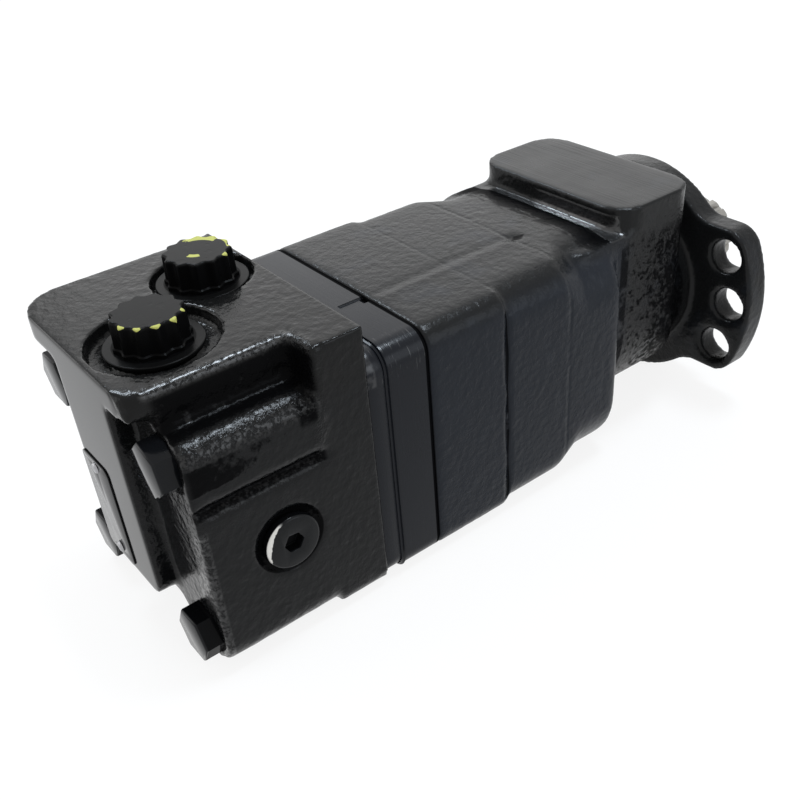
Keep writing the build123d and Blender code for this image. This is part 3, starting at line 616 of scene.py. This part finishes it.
class Bench:
    """The modelling steps that the pieces share."""

    @staticmethod
    def clear() -> None:
        """Leave edit mode and deselect everything."""
        if bpy.context.object is not None and bpy.context.object.mode != "OBJECT":
            bpy.ops.object.mode_set(mode="OBJECT")
        bpy.ops.object.select_all(action="DESELECT")

    @classmethod
    def take(cls, *pieces: Object) -> None:
        """Select these objects alone, the first one active."""
        cls.clear()
        for piece in pieces:
            piece.select_set(True)
        bpy.context.view_layer.objects.active = pieces[0]

    @classmethod
    def join(cls, name: str, *parts: Object) -> None:
        """Join parts into the first one, under a new name."""
        cls.take(*parts)
        bpy.ops.object.join()
        parts[0].name = parts[0].data.name = name

    @classmethod
    def copy_node(cls, node: str, name: str) -> Object:
        """Copy a CAD node's mesh to a new piece and close its loose triangles."""
        piece = cls.put(name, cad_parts[node].data.copy())
        piece.data.name = name
        piece.data.materials.clear()
        cls.take(piece)
        bpy.ops.mesh.customdata_custom_splitnormals_clear()
        cls.edit(piece, bpy.ops.mesh.remove_doubles, threshold=0.01 * MM)
        return piece

    @staticmethod
    def put(name: str, data: Any) -> Object:
        """Add an object with this data to the scene."""
        made = bpy.data.objects.new(name, data)
        bpy.context.scene.collection.objects.link(made)
        return made

    @classmethod
    def add(cls, primitive: Callable[..., Any], **settings: Any) -> Object:
        """Add a primitive, with its place and turn applied to its mesh."""
        cls.clear()
        primitive(**settings)
        bpy.ops.object.transform_apply()
        return bpy.context.object

    @classmethod
    def edit(cls, piece: Object, operator: Callable[..., Any], **settings: Any) -> None:
        """Run a mesh operator on the whole of a piece."""
        cls.take(piece)
        bpy.ops.object.mode_set(mode="EDIT")
        bpy.ops.mesh.select_all(action="SELECT")
        operator(**settings)
        bpy.ops.object.mode_set(mode="OBJECT")

    @classmethod
    def modify(cls, piece: Object, kind: str, **settings: Any) -> None:
        """Add a modifier with these settings and apply it."""
        cls.take(piece)
        modifier = piece.modifiers.new(kind.title(), kind)
        for key, value in settings.items():
            setattr(modifier, key, value)
        bpy.ops.object.modifier_apply(modifier=modifier.name)

    @classmethod
    def round_edges(cls, piece: Object, width: float, segments: int = 2,
                    limit: Limit = Limit.SHARP, where: Callable[[Vector], bool] = lambda p: True) -> None:
        """Round the sharp edges of a machined piece.

        Args:
            piece: the object.
            width: the rounding's width in millimetres.
            segments: the faces across it.
            limit: how sharp an edge must be.
            where: True for an edge whose middle is at a point to round, in millimetres.
        """
        cls.modify(piece, "DECIMATE", decimate_type="DISSOLVE", angle_limit=math.radians(0.4), delimit={"NORMAL"})
        mesh = bmesh.new()
        mesh.from_mesh(piece.data)
        layer = mesh.edges.layers.float.new("bevel_weight_edge")
        turn = math.radians(limit.value)
        for edge in mesh.edges:
            sharp = len(edge.link_faces) == 2 and edge.calc_face_angle(0.0) > turn
            middle = (edge.verts[0].co + edge.verts[1].co) / 2
            edge[layer] = 1.0 if sharp and where(middle / MM) else 0.0
        mesh.to_mesh(piece.data)
        mesh.free()
        cls.modify(piece, "BEVEL", limit_method="WEIGHT", width=width * MM, segments=segments, profile=0.5,
                   use_clamp_overlap=False, miter_outer="MITER_ARC")
        cls.smooth(piece, 40.0)

    @classmethod
    def smooth(cls, piece: Object, degrees: float) -> None:
        """Shade smooth below an angle."""
        cls.take(piece)
        bpy.ops.object.shade_smooth_by_angle(angle=math.radians(degrees))

    @classmethod
    def weigh(cls, piece: Object, weight: Callable[[Vector], float]) -> str:
        """Name a new vertex group, with a weight from 0 to 1 for each point in millimetres."""
        piece.vertex_groups.clear()
        group = piece.vertex_groups.new(name="weight")
        for vertex in piece.data.vertices:
            group.add([vertex.index], weight(vertex.co / MM), "REPLACE")
        return group.name

    @classmethod
    def cast(cls, piece: Object, voxel: float, turns: int, soft: Callable[[Vector], float],
             sunk: Callable[[Vector], Vector], rough: Callable[[Vector], float],
             scored: Callable[[Vector], Vector] = lambda p: Vector(),
             rim: Optional[tuple[Object, Callable[[Vector], float]]] = None) -> None:
        """Give a piece the soft edges and the lumpy skin of a casting. Its rules take and give millimetres.

        Args:
            piece: the object, closed.
            voxel: the size of the new mesh's faces.
            turns: how often it is smoothed.
            soft: how much a point is smoothed, from 0 to 1.
            sunk: how far a point is moved.
            rough: how lumpy the skin is at a point, from 0 to 1.
            scored: how far a point is moved after the smoothing.
            rim: a model that points are put back on, and how much, from 0 to 1. The model is used up.
        """
        cls.modify(piece, "REMESH", mode="VOXEL", voxel_size=voxel * MM, use_smooth_shade=True)
        for vertex in piece.data.vertices:
            vertex.co += sunk(vertex.co / MM) * MM
        cls.modify(piece, "SMOOTH", factor=0.5, iterations=turns, vertex_group=cls.weigh(piece, soft))
        for vertex in piece.data.vertices:
            vertex.co += scored(vertex.co / MM) * MM
        if rim is not None:
            model, share = rim
            cls.modify(piece, "SHRINKWRAP", target=model, wrap_method="NEAREST_SURFACEPOINT",
                       vertex_group=cls.weigh(piece, share))
            bpy.data.objects.remove(model)
        skin = bpy.data.textures.new("cast_skin", "CLOUDS")
        skin.noise_scale = 2.6 * MM
        skin.noise_depth = 1
        cls.modify(piece, "DISPLACE", texture=skin, texture_coords="LOCAL", strength=0.35 * MM, mid_level=1.0,
                   vertex_group=cls.weigh(piece, rough))
        piece.vertex_groups.clear()

    @staticmethod
    def dress(piece: Object, material: Material, body: str, slot: str, *nodes: str) -> None:
        """Finish a piece: its material, its body and the nodes it stands for.

        Args:
            piece: the object.
            material: its finish.
            body: the body it rides on.
            slot: the record's material slot; not used.
            nodes: the CAD nodes it replaces.
        """
        piece.data.materials.clear()
        piece.data.materials.append(material)
        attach(piece, body)
        if nodes:
            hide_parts(*nodes)
        LOG.info("%s: %d faces", piece.name, len(piece.data.polygons))


def swell(value: float, centre: float, reach: float) -> float:
    """A smooth bump of height 1 about a centre, 0 beyond its reach."""
    share = min(1.0, abs(value - centre) / reach)
    return 0.5 + 0.5 * math.cos(math.pi * share)


def ramp(value: float, low: float, high: float) -> float:
    """A rise from 0 at low to 1 at high, or a fall where high is below low."""
    return min(1.0, max(0.0, (value - low) / (high - low)))


@dataclass
class ShaftHousing:
    """The long casting between the ring and the mounting face."""

    voxel: float = 1.3
    turns: int = 9
    ridge_end: float = JOINT_X + 67.0
    seam_x: float = JOINT_X + 35.0
    groove_x: float = -67.3
    groove_z: float = 46.5
    rim_x: float = -15.0
    rim_edge: float = 0.9
    holes: tuple[tuple[float, float], ...] = ((49.15, 20.36), (53.2, 0.0))

    def softness(self, point: Vector) -> float:
        """How much a point is smoothed: less at the milled pad."""
        if point.z > PAD_TOP - 1.0:
            return 0.35
        return 1.0 if point.x < 1.5 else 0.4

    def rim_share(self, point: Vector) -> float:
        """1 at the flange's outline, which is put back on a rounded model of it."""
        holes = min(math.hypot(abs(point.y) - y, abs(point.z) - z) for y, z in self.holes)
        return 1.0 if point.x > self.rim_x and math.hypot(point.y, point.z) > 45 and holes > 9.2 else 0.0

    def score(self, point: Vector) -> Vector:
        """The crack-like mould seam down the near side."""
        if point.y > -44 or abs(point.z) > 40:
            return Vector()
        place = self.seam_x + 0.5 * math.sin(point.z * 0.21)
        return Vector((0, swell(point.x, place, 1.7) * 0.8, 0))

    def shift(self, point: Vector) -> Vector:
        """The mismatch of the mould halves on top, its end in a small notch, and a filled groove at the pad."""
        if point.z < 40 or point.x > self.groove_x + 4:
            return Vector()
        fill = 0.0
        if point.z < self.groove_z:
            fill = 0.5 * (self.groove_z - point.z) * swell(point.x, self.groove_x, 4)
            fill *= ramp(abs(point.y), 36, 28)
        along = ramp(point.x, JOINT_X + 1, JOINT_X + 6)
        step = 0.8 * swell(point.y, PARTING_Y + 1.6, 3.0)
        step -= 0.5 * swell(point.y, PARTING_Y - 1.6, 2.6)
        step *= ramp(point.x, self.ridge_end + 3, self.ridge_end - 1)
        notch = swell(point.x, self.ridge_end, 4) * swell(point.y, PARTING_Y, 3.5)
        return Vector((0, 0, fill - (0.6 * step * along + 1.5 * notch)))

    def roughness(self, point: Vector) -> float:
        """How lumpy the skin is: smooth at the pad and the machined faces."""
        if point.x < JOINT_X + 1.0 or point.x > -15.0 or point.z > PAD_TOP - 1.2:
            return 0.0
        inside = math.hypot(point.y, point.z) < 38 and abs(point.x + 90) > 55
        return 0.0 if inside and point.x < -80 else 0.6

    def build(self) -> None:
        """Model and dress the housing."""
        piece = Bench.copy_node("shaft_housing", "shaft_housing_casting")
        model = Bench.copy_node("shaft_housing", "rim_model")
        Bench.round_edges(model, self.rim_edge, 3, Limit.VERY_SHARP,
                          lambda p: p.x > self.rim_x and self.rim_share(p) > 0)
        Bench.cast(piece, self.voxel, self.turns, self.softness, self.shift, self.roughness, self.score,
                   (model, self.rim_share))
        Bench.dress(piece, ShaftHousingPaint("shaft_housing_paint").build(), "housing", "casting_paint",
                    "shaft_housing")


@dataclass
class ValveHousing:
    """The rear casting with the two ports and the drain."""

    voxel: float = 1.1
    turns: int = 40
    plate_x: float = -187.9
    shoulder_x: float = -253.2
    groove_z: float = 20.9
    corner: tuple[float, float] = (-245.9, 32.6)
    corner_radius: float = 15.0
    port_reach: float = 23.0

    def softness(self, point: Vector) -> float:
        """How much a point is smoothed: most where the mould was worn, least at machined faces."""
        if point.x > self.plate_x - 1.0:
            return 0.02
        if point.z > 50 and any(math.dist(point.xy, port) < self.port_reach for port in PORTS):
            return 0.03
        if point.y < -28 and point.z > 36 and point.x < SLAB_X + 5:
            return 1.0
        if point.y < -40 and point.x < self.shoulder_x + 9 and point.z < 12:
            return 0.8
        return 0.15

    def round_corner(self, point: Vector) -> Vector:
        """Carry the port block's round far corner down over the shoulder below it."""
        off = Vector((point.x - self.corner[0], point.y - self.corner[1], 0))
        if off.x > 0 or off.y < 0 or off.length < self.corner_radius:
            return Vector()
        return off * (self.corner_radius / off.length - 1) * ramp(point.z, 34, 43)

    def shift(self, point: Vector) -> Vector:
        """The shallow groove along the near side and the round far corner."""
        if point.y > -43:
            return self.round_corner(point)
        along = ramp(point.x, self.shoulder_x, self.shoulder_x + 5)
        along *= ramp(point.x, SLAB_X + 4, SLAB_X - 2)
        return Vector((0, swell(point.z, self.groove_z, 4.2) * along * 1.5, 0))

    def roughness(self, point: Vector) -> float:
        """How lumpy the skin is: most around the boss and groove, none at machined faces."""
        if point.x > self.plate_x - 1.0 or point.x < REAR_X + 0.8:
            return 0.0
        if math.hypot(point.y, point.z) < 36 and point.x > self.shoulder_x + 8:
            return 0.0
        near = point.y < -33 and point.x < SLAB_X + 2
        worn = max(swell(point.z, 43, 12), swell(point.z, self.groove_z, 6), swell(point.z, 58, 5))
        return 1.0 if near and worn > 0.35 else 0.5

    def build(self) -> None:
        """Model and dress the housing."""
        piece = Bench.copy_node("valve_housing", "valve_housing_casting")
        Bench.cast(piece, self.voxel, self.turns, self.softness, self.shift, self.roughness)
        Bench.dress(piece, ValveHousingPaint("valve_housing_paint").build(), "housing", "casting_paint",
                    "valve_housing")


@dataclass
class Sandwich:
    """The ground ring and the thin plate between the two castings."""

    edge: float = 0.6
    joint_edge: float = 1.2
    outside: float = 43.0
    notches: tuple[tuple[Triple, Triple], ...] = (
        ((-167.6, -14.5, 48.9), (13.0, 4.8, 5.0)),
        ((JOINT_X, -14.9, 48.0), (4.0, 4.0, 5.0)),
    )

    def is_outside(self, point: Vector) -> bool:
        """True for an edge of the outer outline."""
        return max(abs(point.y), abs(point.z)) > self.outside or math.hypot(point.y, point.z) > 56

    def cut_notch(self, piece: Object) -> None:
        """Cut the shallow timing notch in the ring's top, deeper at the joint."""
        for place, size in self.notches:
            tool = Bench.add(bpy.ops.mesh.primitive_cube_add, size=1.0, location=Vector(place) * MM,
                             scale=Vector(size) * MM)
            Bench.edit(tool, bpy.ops.mesh.bevel, offset=0.4 * MM, segments=2)
            Bench.modify(piece, "BOOLEAN", operation="DIFFERENCE", object=tool, solver="EXACT")
            bpy.data.objects.remove(tool)

    def build(self) -> None:
        """Model and dress both plates."""
        finish = GroundPaint("ground_paint").build()
        for node in ("geroler_ring", "valve_plate"):
            piece = Bench.copy_node(node, node + "_ground")
            Bench.round_edges(piece, self.edge, 2, Limit.VERY_SHARP,
                              lambda p: self.is_outside(p) and p.x < JOINT_X - 1)
            if node == "geroler_ring":
                Bench.round_edges(piece, self.joint_edge, 3, Limit.VERY_SHARP,
                                  lambda p: self.is_outside(p) and p.x > JOINT_X - 1)
                self.cut_notch(piece)
            Bench.dress(piece, finish, "housing", "ring_paint", node)


@dataclass
class PortCap:
    """A screw-in transport cap with a lobed grip."""

    node: str
    centre: tuple[float, float]
    phase: float
    patches: tuple[Patch, ...]
    seat_z: float = 56.7 * MM
    flange_radius: float = 15.8 * MM
    flange_thickness: float = 1.5 * MM
    height: float = 10.4 * MM
    foot_radius: float = 11.9 * MM
    top_radius: float = 11.5 * MM
    collar: tuple[float, float] = (0.6 * MM, 1.2 * MM)
    valley_depth: float = 1.3 * MM
    lobes: int = 12
    edge: float = 0.45 * MM

    def ring(self, tip: float) -> None:
        """Move the selected ring of vertices to the lobed outline with this radius at its tips."""
        mesh = bmesh.from_edit_mesh(bpy.context.object.data)
        for vertex in [v for v in mesh.verts if v.select]:
            across, along = vertex.co.x - self.centre[0], vertex.co.y - self.centre[1]
            angle = math.atan2(along, across)
            wave = 0.5 - 0.5 * math.cos(self.lobes * (angle - math.radians(self.phase)))
            radius = tip - self.valley_depth * wave ** 0.75
            vertex.co.x = self.centre[0] + radius * math.cos(angle)
            vertex.co.y = self.centre[1] + radius * math.sin(angle)
        bmesh.update_edit_mesh(bpy.context.object.data)

    def rise(self, height: float, tip: float) -> None:
        """Extrude the selected face upwards to a new ring."""
        bpy.ops.mesh.extrude_region_move(TRANSFORM_OT_translate={"value": (0, 0, height)})
        self.ring(tip)

    def grip(self) -> Object:
        """Model the lobed grip."""
        foot = self.seat_z + self.flange_thickness - 0.1 * MM
        grip = Bench.add(bpy.ops.mesh.primitive_circle_add, vertices=192, radius=self.foot_radius,
                         fill_type="NGON", location=(*self.centre, foot))
        bpy.ops.object.mode_set(mode="EDIT")
        bpy.ops.mesh.select_all(action="SELECT")
        wide, low = self.collar
        bevel = 0.5 * MM
        self.ring(self.foot_radius + wide)
        self.rise(low, self.foot_radius + wide)
        self.rise(0.4 * MM, self.foot_radius)
        self.rise(self.height - low - 0.4 * MM - bevel, self.top_radius + 0.1 * MM)
        self.rise(bevel * 0.7, self.top_radius - 0.15 * MM)
        self.rise(bevel * 0.3 + 0.1 * MM, self.top_radius - 0.6 * MM)
        bpy.ops.object.mode_set(mode="OBJECT")
        return grip

    def flange(self) -> Object:
        """Model the round flange under the grip."""
        middle = self.seat_z + self.flange_thickness / 2
        flange = Bench.add(bpy.ops.mesh.primitive_cylinder_add, vertices=96, radius=self.flange_radius,
                           depth=self.flange_thickness, location=(*self.centre, middle))
        Bench.modify(flange, "BEVEL", width=self.edge, segments=3, limit_method="ANGLE",
                     angle_limit=math.radians(50))
        return flange

    def build(self) -> None:
        """Model and dress the cap."""
        grip = self.grip()
        Bench.join(self.node + "_moulding", grip, self.flange())
        Bench.edit(grip, bpy.ops.mesh.normals_make_consistent, inside=False)
        Bench.smooth(grip, 35.0)
        Bench.modify(grip, "WEIGHTED_NORMAL", keep_sharp=True)
        top = (self.seat_z + self.flange_thickness + self.height) / MM
        finish = CapPlastic(self.node + "_plastic", (self.centre[0] / MM, self.centre[1] / MM), top, self.patches)
        Bench.dress(grip, finish.build(), "housing", "cap_plastic", self.node)


@dataclass
class CapScrews:
    """The four long hexagon screws."""

    half_spacing: float = 34.4
    seat_x: float = -251.8
    head_height: float = 7.4
    flats: float = 17.0
    chamfer: float = 0.7
    shank_radius: float = 5.0
    end_x: float = -139.6
    spin: float = 30.0
    upper_near_spin: float = 12.0

    def barrel(self, radius: float, sides: int, start: float, end: float, y: float, z: float,
               spin: float = 0.0) -> Object:
        """A prism or cylinder along the shaft's axis, turned about it by the spin in degrees."""
        turn = tuple(math.radians(angle) for angle in (-90, spin, 90))
        return Bench.add(bpy.ops.mesh.primitive_cylinder_add, vertices=sides, radius=radius * MM,
                         depth=(end - start) * MM, location=Vector(((start + end) / 2, y, z)) * MM, rotation=turn)

    def build(self) -> None:
        """Model and dress the screws."""
        top = self.seat_x - self.head_height
        parts = []
        for y in (-self.half_spacing, self.half_spacing):
            for z in (-self.half_spacing, self.half_spacing):
                spin = self.upper_near_spin if y < 0 < z else self.spin
                head = self.barrel(self.flats / math.sqrt(3), 6, top, self.seat_x, y, z, spin)
                Bench.round_edges(head, self.chamfer, 2, where=lambda p: abs(p.x - top) < 0.01)
                parts += [head, self.barrel(self.shank_radius, 40, self.seat_x - 0.5, self.end_x, y, z, self.spin)]
        Bench.join("cap_screws_steel", *parts)
        Bench.smooth(parts[0], 40.0)
        Bench.dress(parts[0], ScrewPaint("screw_paint", rough=0.07, gloss=0.17, marks=0.04).build(), "housing",
                    "screw_finish", "cap_screws")


@dataclass
class Fasteners:
    """The drain plug, the nameplate and its drive screws."""

    chip_radius: float = 9.6
    plate_colour: Colour = (0.008, 0.008, 0.0085)

    def build(self) -> None:
        """Model and dress them all."""
        parts = (
            ("drain_plug", 0.35, ChippedPaint("plug_paint", PLUG, self.chip_radius), "plug_paint"),
            ("nameplate", 0.15, SmoothPaint("nameplate_paint", self.plate_colour, 0.05), "plate_paint"),
            ("nameplate_rivets", 0.15, Steel("rivet_steel", (0.34, 0.34, 0.35), 0.22), "rivet_finish"),
        )
        for node, edge, finish, slot in parts:
            piece = Bench.copy_node(node, node + "_piece")
            Bench.round_edges(piece, edge)
            Bench.dress(piece, finish.build(), "housing", slot, node)


@dataclass
class OutputShaft:
    """The output shaft, of which only the splined end shows."""

    smooth_angle: float = 28.0

    def build(self) -> None:
        """Model and dress the shaft."""
        piece = Bench.copy_node("output_shaft", "output_shaft_steel")
        Bench.smooth(piece, self.smooth_angle)
        Bench.dress(piece, Steel("shaft_steel", (0.30, 0.29, 0.27), 0.3).build(), "shaft", "shaft_steel",
                    "output_shaft")


@dataclass
class InnerWorks:
    """The pieces inside, which keep their CAD shape."""

    steel: tuple[str, ...] = ("rotor_star", "main_drive", "valve_drive", "disc_valve", "drive_spacer")
    hard: tuple[str, ...] = ("wear_plate", "geroler_rollers", "balance_ring", "balance_pins", "balance_spring",
                             "rear_spacer", "seal_backup", "rear_snap_ring", "front_snap_ring")
    bearing: tuple[str, ...] = ("bearing_cup", "bearing_cone", "bearing_rollers", "bearing_cage")
    rubber: tuple[str, ...] = ("balance_seal", "body_seals", "shaft_seal", "dust_seal", "drain_seal")

    def build(self) -> None:
        """Dress the CAD nodes."""
        bearings = tuple(f"{end}_{part}" for end in ("front", "rear") for part in self.bearing)
        groups = (
            (self.steel, Steel("machined_steel", (0.52, 0.51, 0.49), 0.3)),
            (self.hard, Steel("hardened_steel", (0.47, 0.47, 0.47), 0.26)),
            (bearings, Steel("bearing_steel", (0.6, 0.6, 0.61), 0.2)),
            (self.rubber, Rubber("seal_rubber")),
        )
        for nodes, finish in groups:
            material = finish.build()
            for node in nodes:
                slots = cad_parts[node].material_slots
                for place in range(len(slots)):
                    slots[place].link = "OBJECT"
                    slots[place].material = material
                LOG.info("%s: %s", node, material.name)


# ------------------------------------------------------------------ studio


@dataclass
class SoftLight:
    """A large soft lamp aimed at the motor."""

    name: str
    place: Triple
    size: float
    power: float
    colour: Colour = (1.0, 1.0, 1.0)
    target: Triple = (-0.13, 0.0, 0.0)

    def build(self) -> None:
        """Add the lamp."""
        data = bpy.data.lights.new(self.name, "AREA")
        data.shape = "SQUARE"
        data.size = self.size
        data.energy = self.power
        data.color = self.colour
        lamp = Bench.put(self.name, data)
        lamp.location = self.place
        aim = Vector(self.target) - Vector(self.place)
        lamp.rotation_mode = "QUATERNION"
        lamp.rotation_quaternion = aim.to_track_quat("-Z", "Y")


@dataclass
class Studio:
    """The floor, the world, the lamps and the camera."""

    floor_z: float = -47.6 * MM
    floor_colour: Colour = (0.9, 0.9, 0.9)
    white: Colour = (1.0, 1.0, 1.0)
    white_share: float = 0.86
    sky_level: float = 0.75
    camera_place: Triple = (-0.3293, -0.2658, 0.2051)
    forward: Triple = (0.469, 0.649, -0.599)
    up: Triple = (0.4133, 0.4381, 0.7983)
    lens: float = 44.33
    shift: tuple[float, float] = (-0.0201, 0.0654)
    lights: tuple[SoftLight, ...] = (
        SoftLight("back_light", (0.75, 1.15, 1.05), 1.7, 8.0),
        SoftLight("left_light", (-1.1, 0.75, 0.35), 1.0, 4.0),
        SoftLight("key_light", (0.19, -0.10, 1.3), 0.32, 11.0, (0.80, 0.90, 1.0)),
        SoftLight("rim_light", (-0.19, 0.76, 1.03), 0.25, 6.0, (0.80, 0.90, 1.0)),
        SoftLight("side_light", (0.25, -0.9, 0.35), 0.6, 2.0, (0.85, 0.92, 1.0)),
    )

    def seen_directly(self, tree: Tree) -> Value:
        """1 for camera, glossy and transmission rays, 0 for the rest."""
        path = tree.node("ShaderNodeLightPath", {})
        camera, glossy, through = (Value(tree, path.outputs[name]) for name in
                                   ("Is Camera Ray", "Is Glossy Ray", "Is Transmission Ray"))
        return camera.most(glossy).most(through)

    def floor(self) -> None:
        """Add the pale floor, which keeps the motor's shadow."""
        plane = Bench.add(bpy.ops.mesh.primitive_plane_add, size=12, location=(0, 0, self.floor_z))
        plane.name = "floor"
        tree = Tree("floor_white")
        matt = tree.node("ShaderNodeBsdfDiffuse", {"Color": self.floor_colour})
        glow = tree.node("ShaderNodeEmission", {"Color": self.white, "Strength": 1.0})
        end = tree.blend(self.seen_directly(tree) * self.white_share, matt.outputs[0], glow.outputs[0])
        tree.node("ShaderNodeOutputMaterial", {"Surface": end})
        plane.data.materials.append(tree.owner)

    def world(self) -> None:
        """Make a plain sky: white where it is seen, softer where it only lights."""
        tree = Tree("studio_sky", world=True)
        bpy.context.scene.world = tree.owner
        lit, seen = (tree.node("ShaderNodeBackground", {"Color": self.white, "Strength": level}).outputs[0]
                     for level in (self.sky_level, 1.0))
        tree.node("ShaderNodeOutputWorld", {"Surface": tree.blend(self.seen_directly(tree), lit, seen)})

    def camera(self) -> None:
        """Place the camera at the photograph's viewing angle."""
        data = bpy.data.cameras.new("camera")
        data.lens = self.lens
        data.sensor_width = 36.0
        data.shift_x, data.shift_y = self.shift
        data.clip_start, data.clip_end = 0.01, 50.0
        camera = Bench.put("camera", data)
        back = -Vector(self.forward).normalized()
        right = Vector(self.up).cross(back).normalized()
        up = back.cross(right)
        turn = Matrix((right, up, back)).transposed()
        camera.matrix_world = Matrix.Translation(Vector(self.camera_place)) @ turn.to_4x4()
        bpy.context.scene.camera = camera

    def build(self) -> None:
        """Build the whole studio."""
        self.floor()
        self.world()
        for light in self.lights:
            light.build()
        self.camera()
        bpy.context.scene.view_settings.view_transform = "Standard"


# The traces of paint on the rear cap's lobes and along the front cap's rim
CAP_MARKS = (
    tuple(Patch(middle, reach, depth=depth) for middle, reach, depth in
          ((-160, 11, 0.6), (-131, 9, 0.6), (-102, 13, 0.7), (-68, 12, 1.9), (-40, 6, 0.9))),
    (Patch(52, 50, 7.7, 11.5), Patch(-8, 32, 10.1), Patch(-60, 8), Patch(-130, 34, 3.8, 5.4)),
)


def main() -> None:
    """Build every piece in order, then the studio."""
    logging.basicConfig(level=logging.INFO, format="%(name)s %(message)s")
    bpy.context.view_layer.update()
    ShaftHousing().build()
    ValveHousing().build()
    Sandwich().build()
    for node, centre, phase, patches in zip(("rear_port_cap", "front_port_cap"), PORTS, (20.0, 0.0), CAP_MARKS):
        PortCap(node, (centre[0] * MM, centre[1] * MM), phase, patches).build()
    CapScrews().build()
    Fasteners().build()
    OutputShaft().build()
    InnerWorks().build()
    Studio().build()


if __name__ == "__main__":
    main()
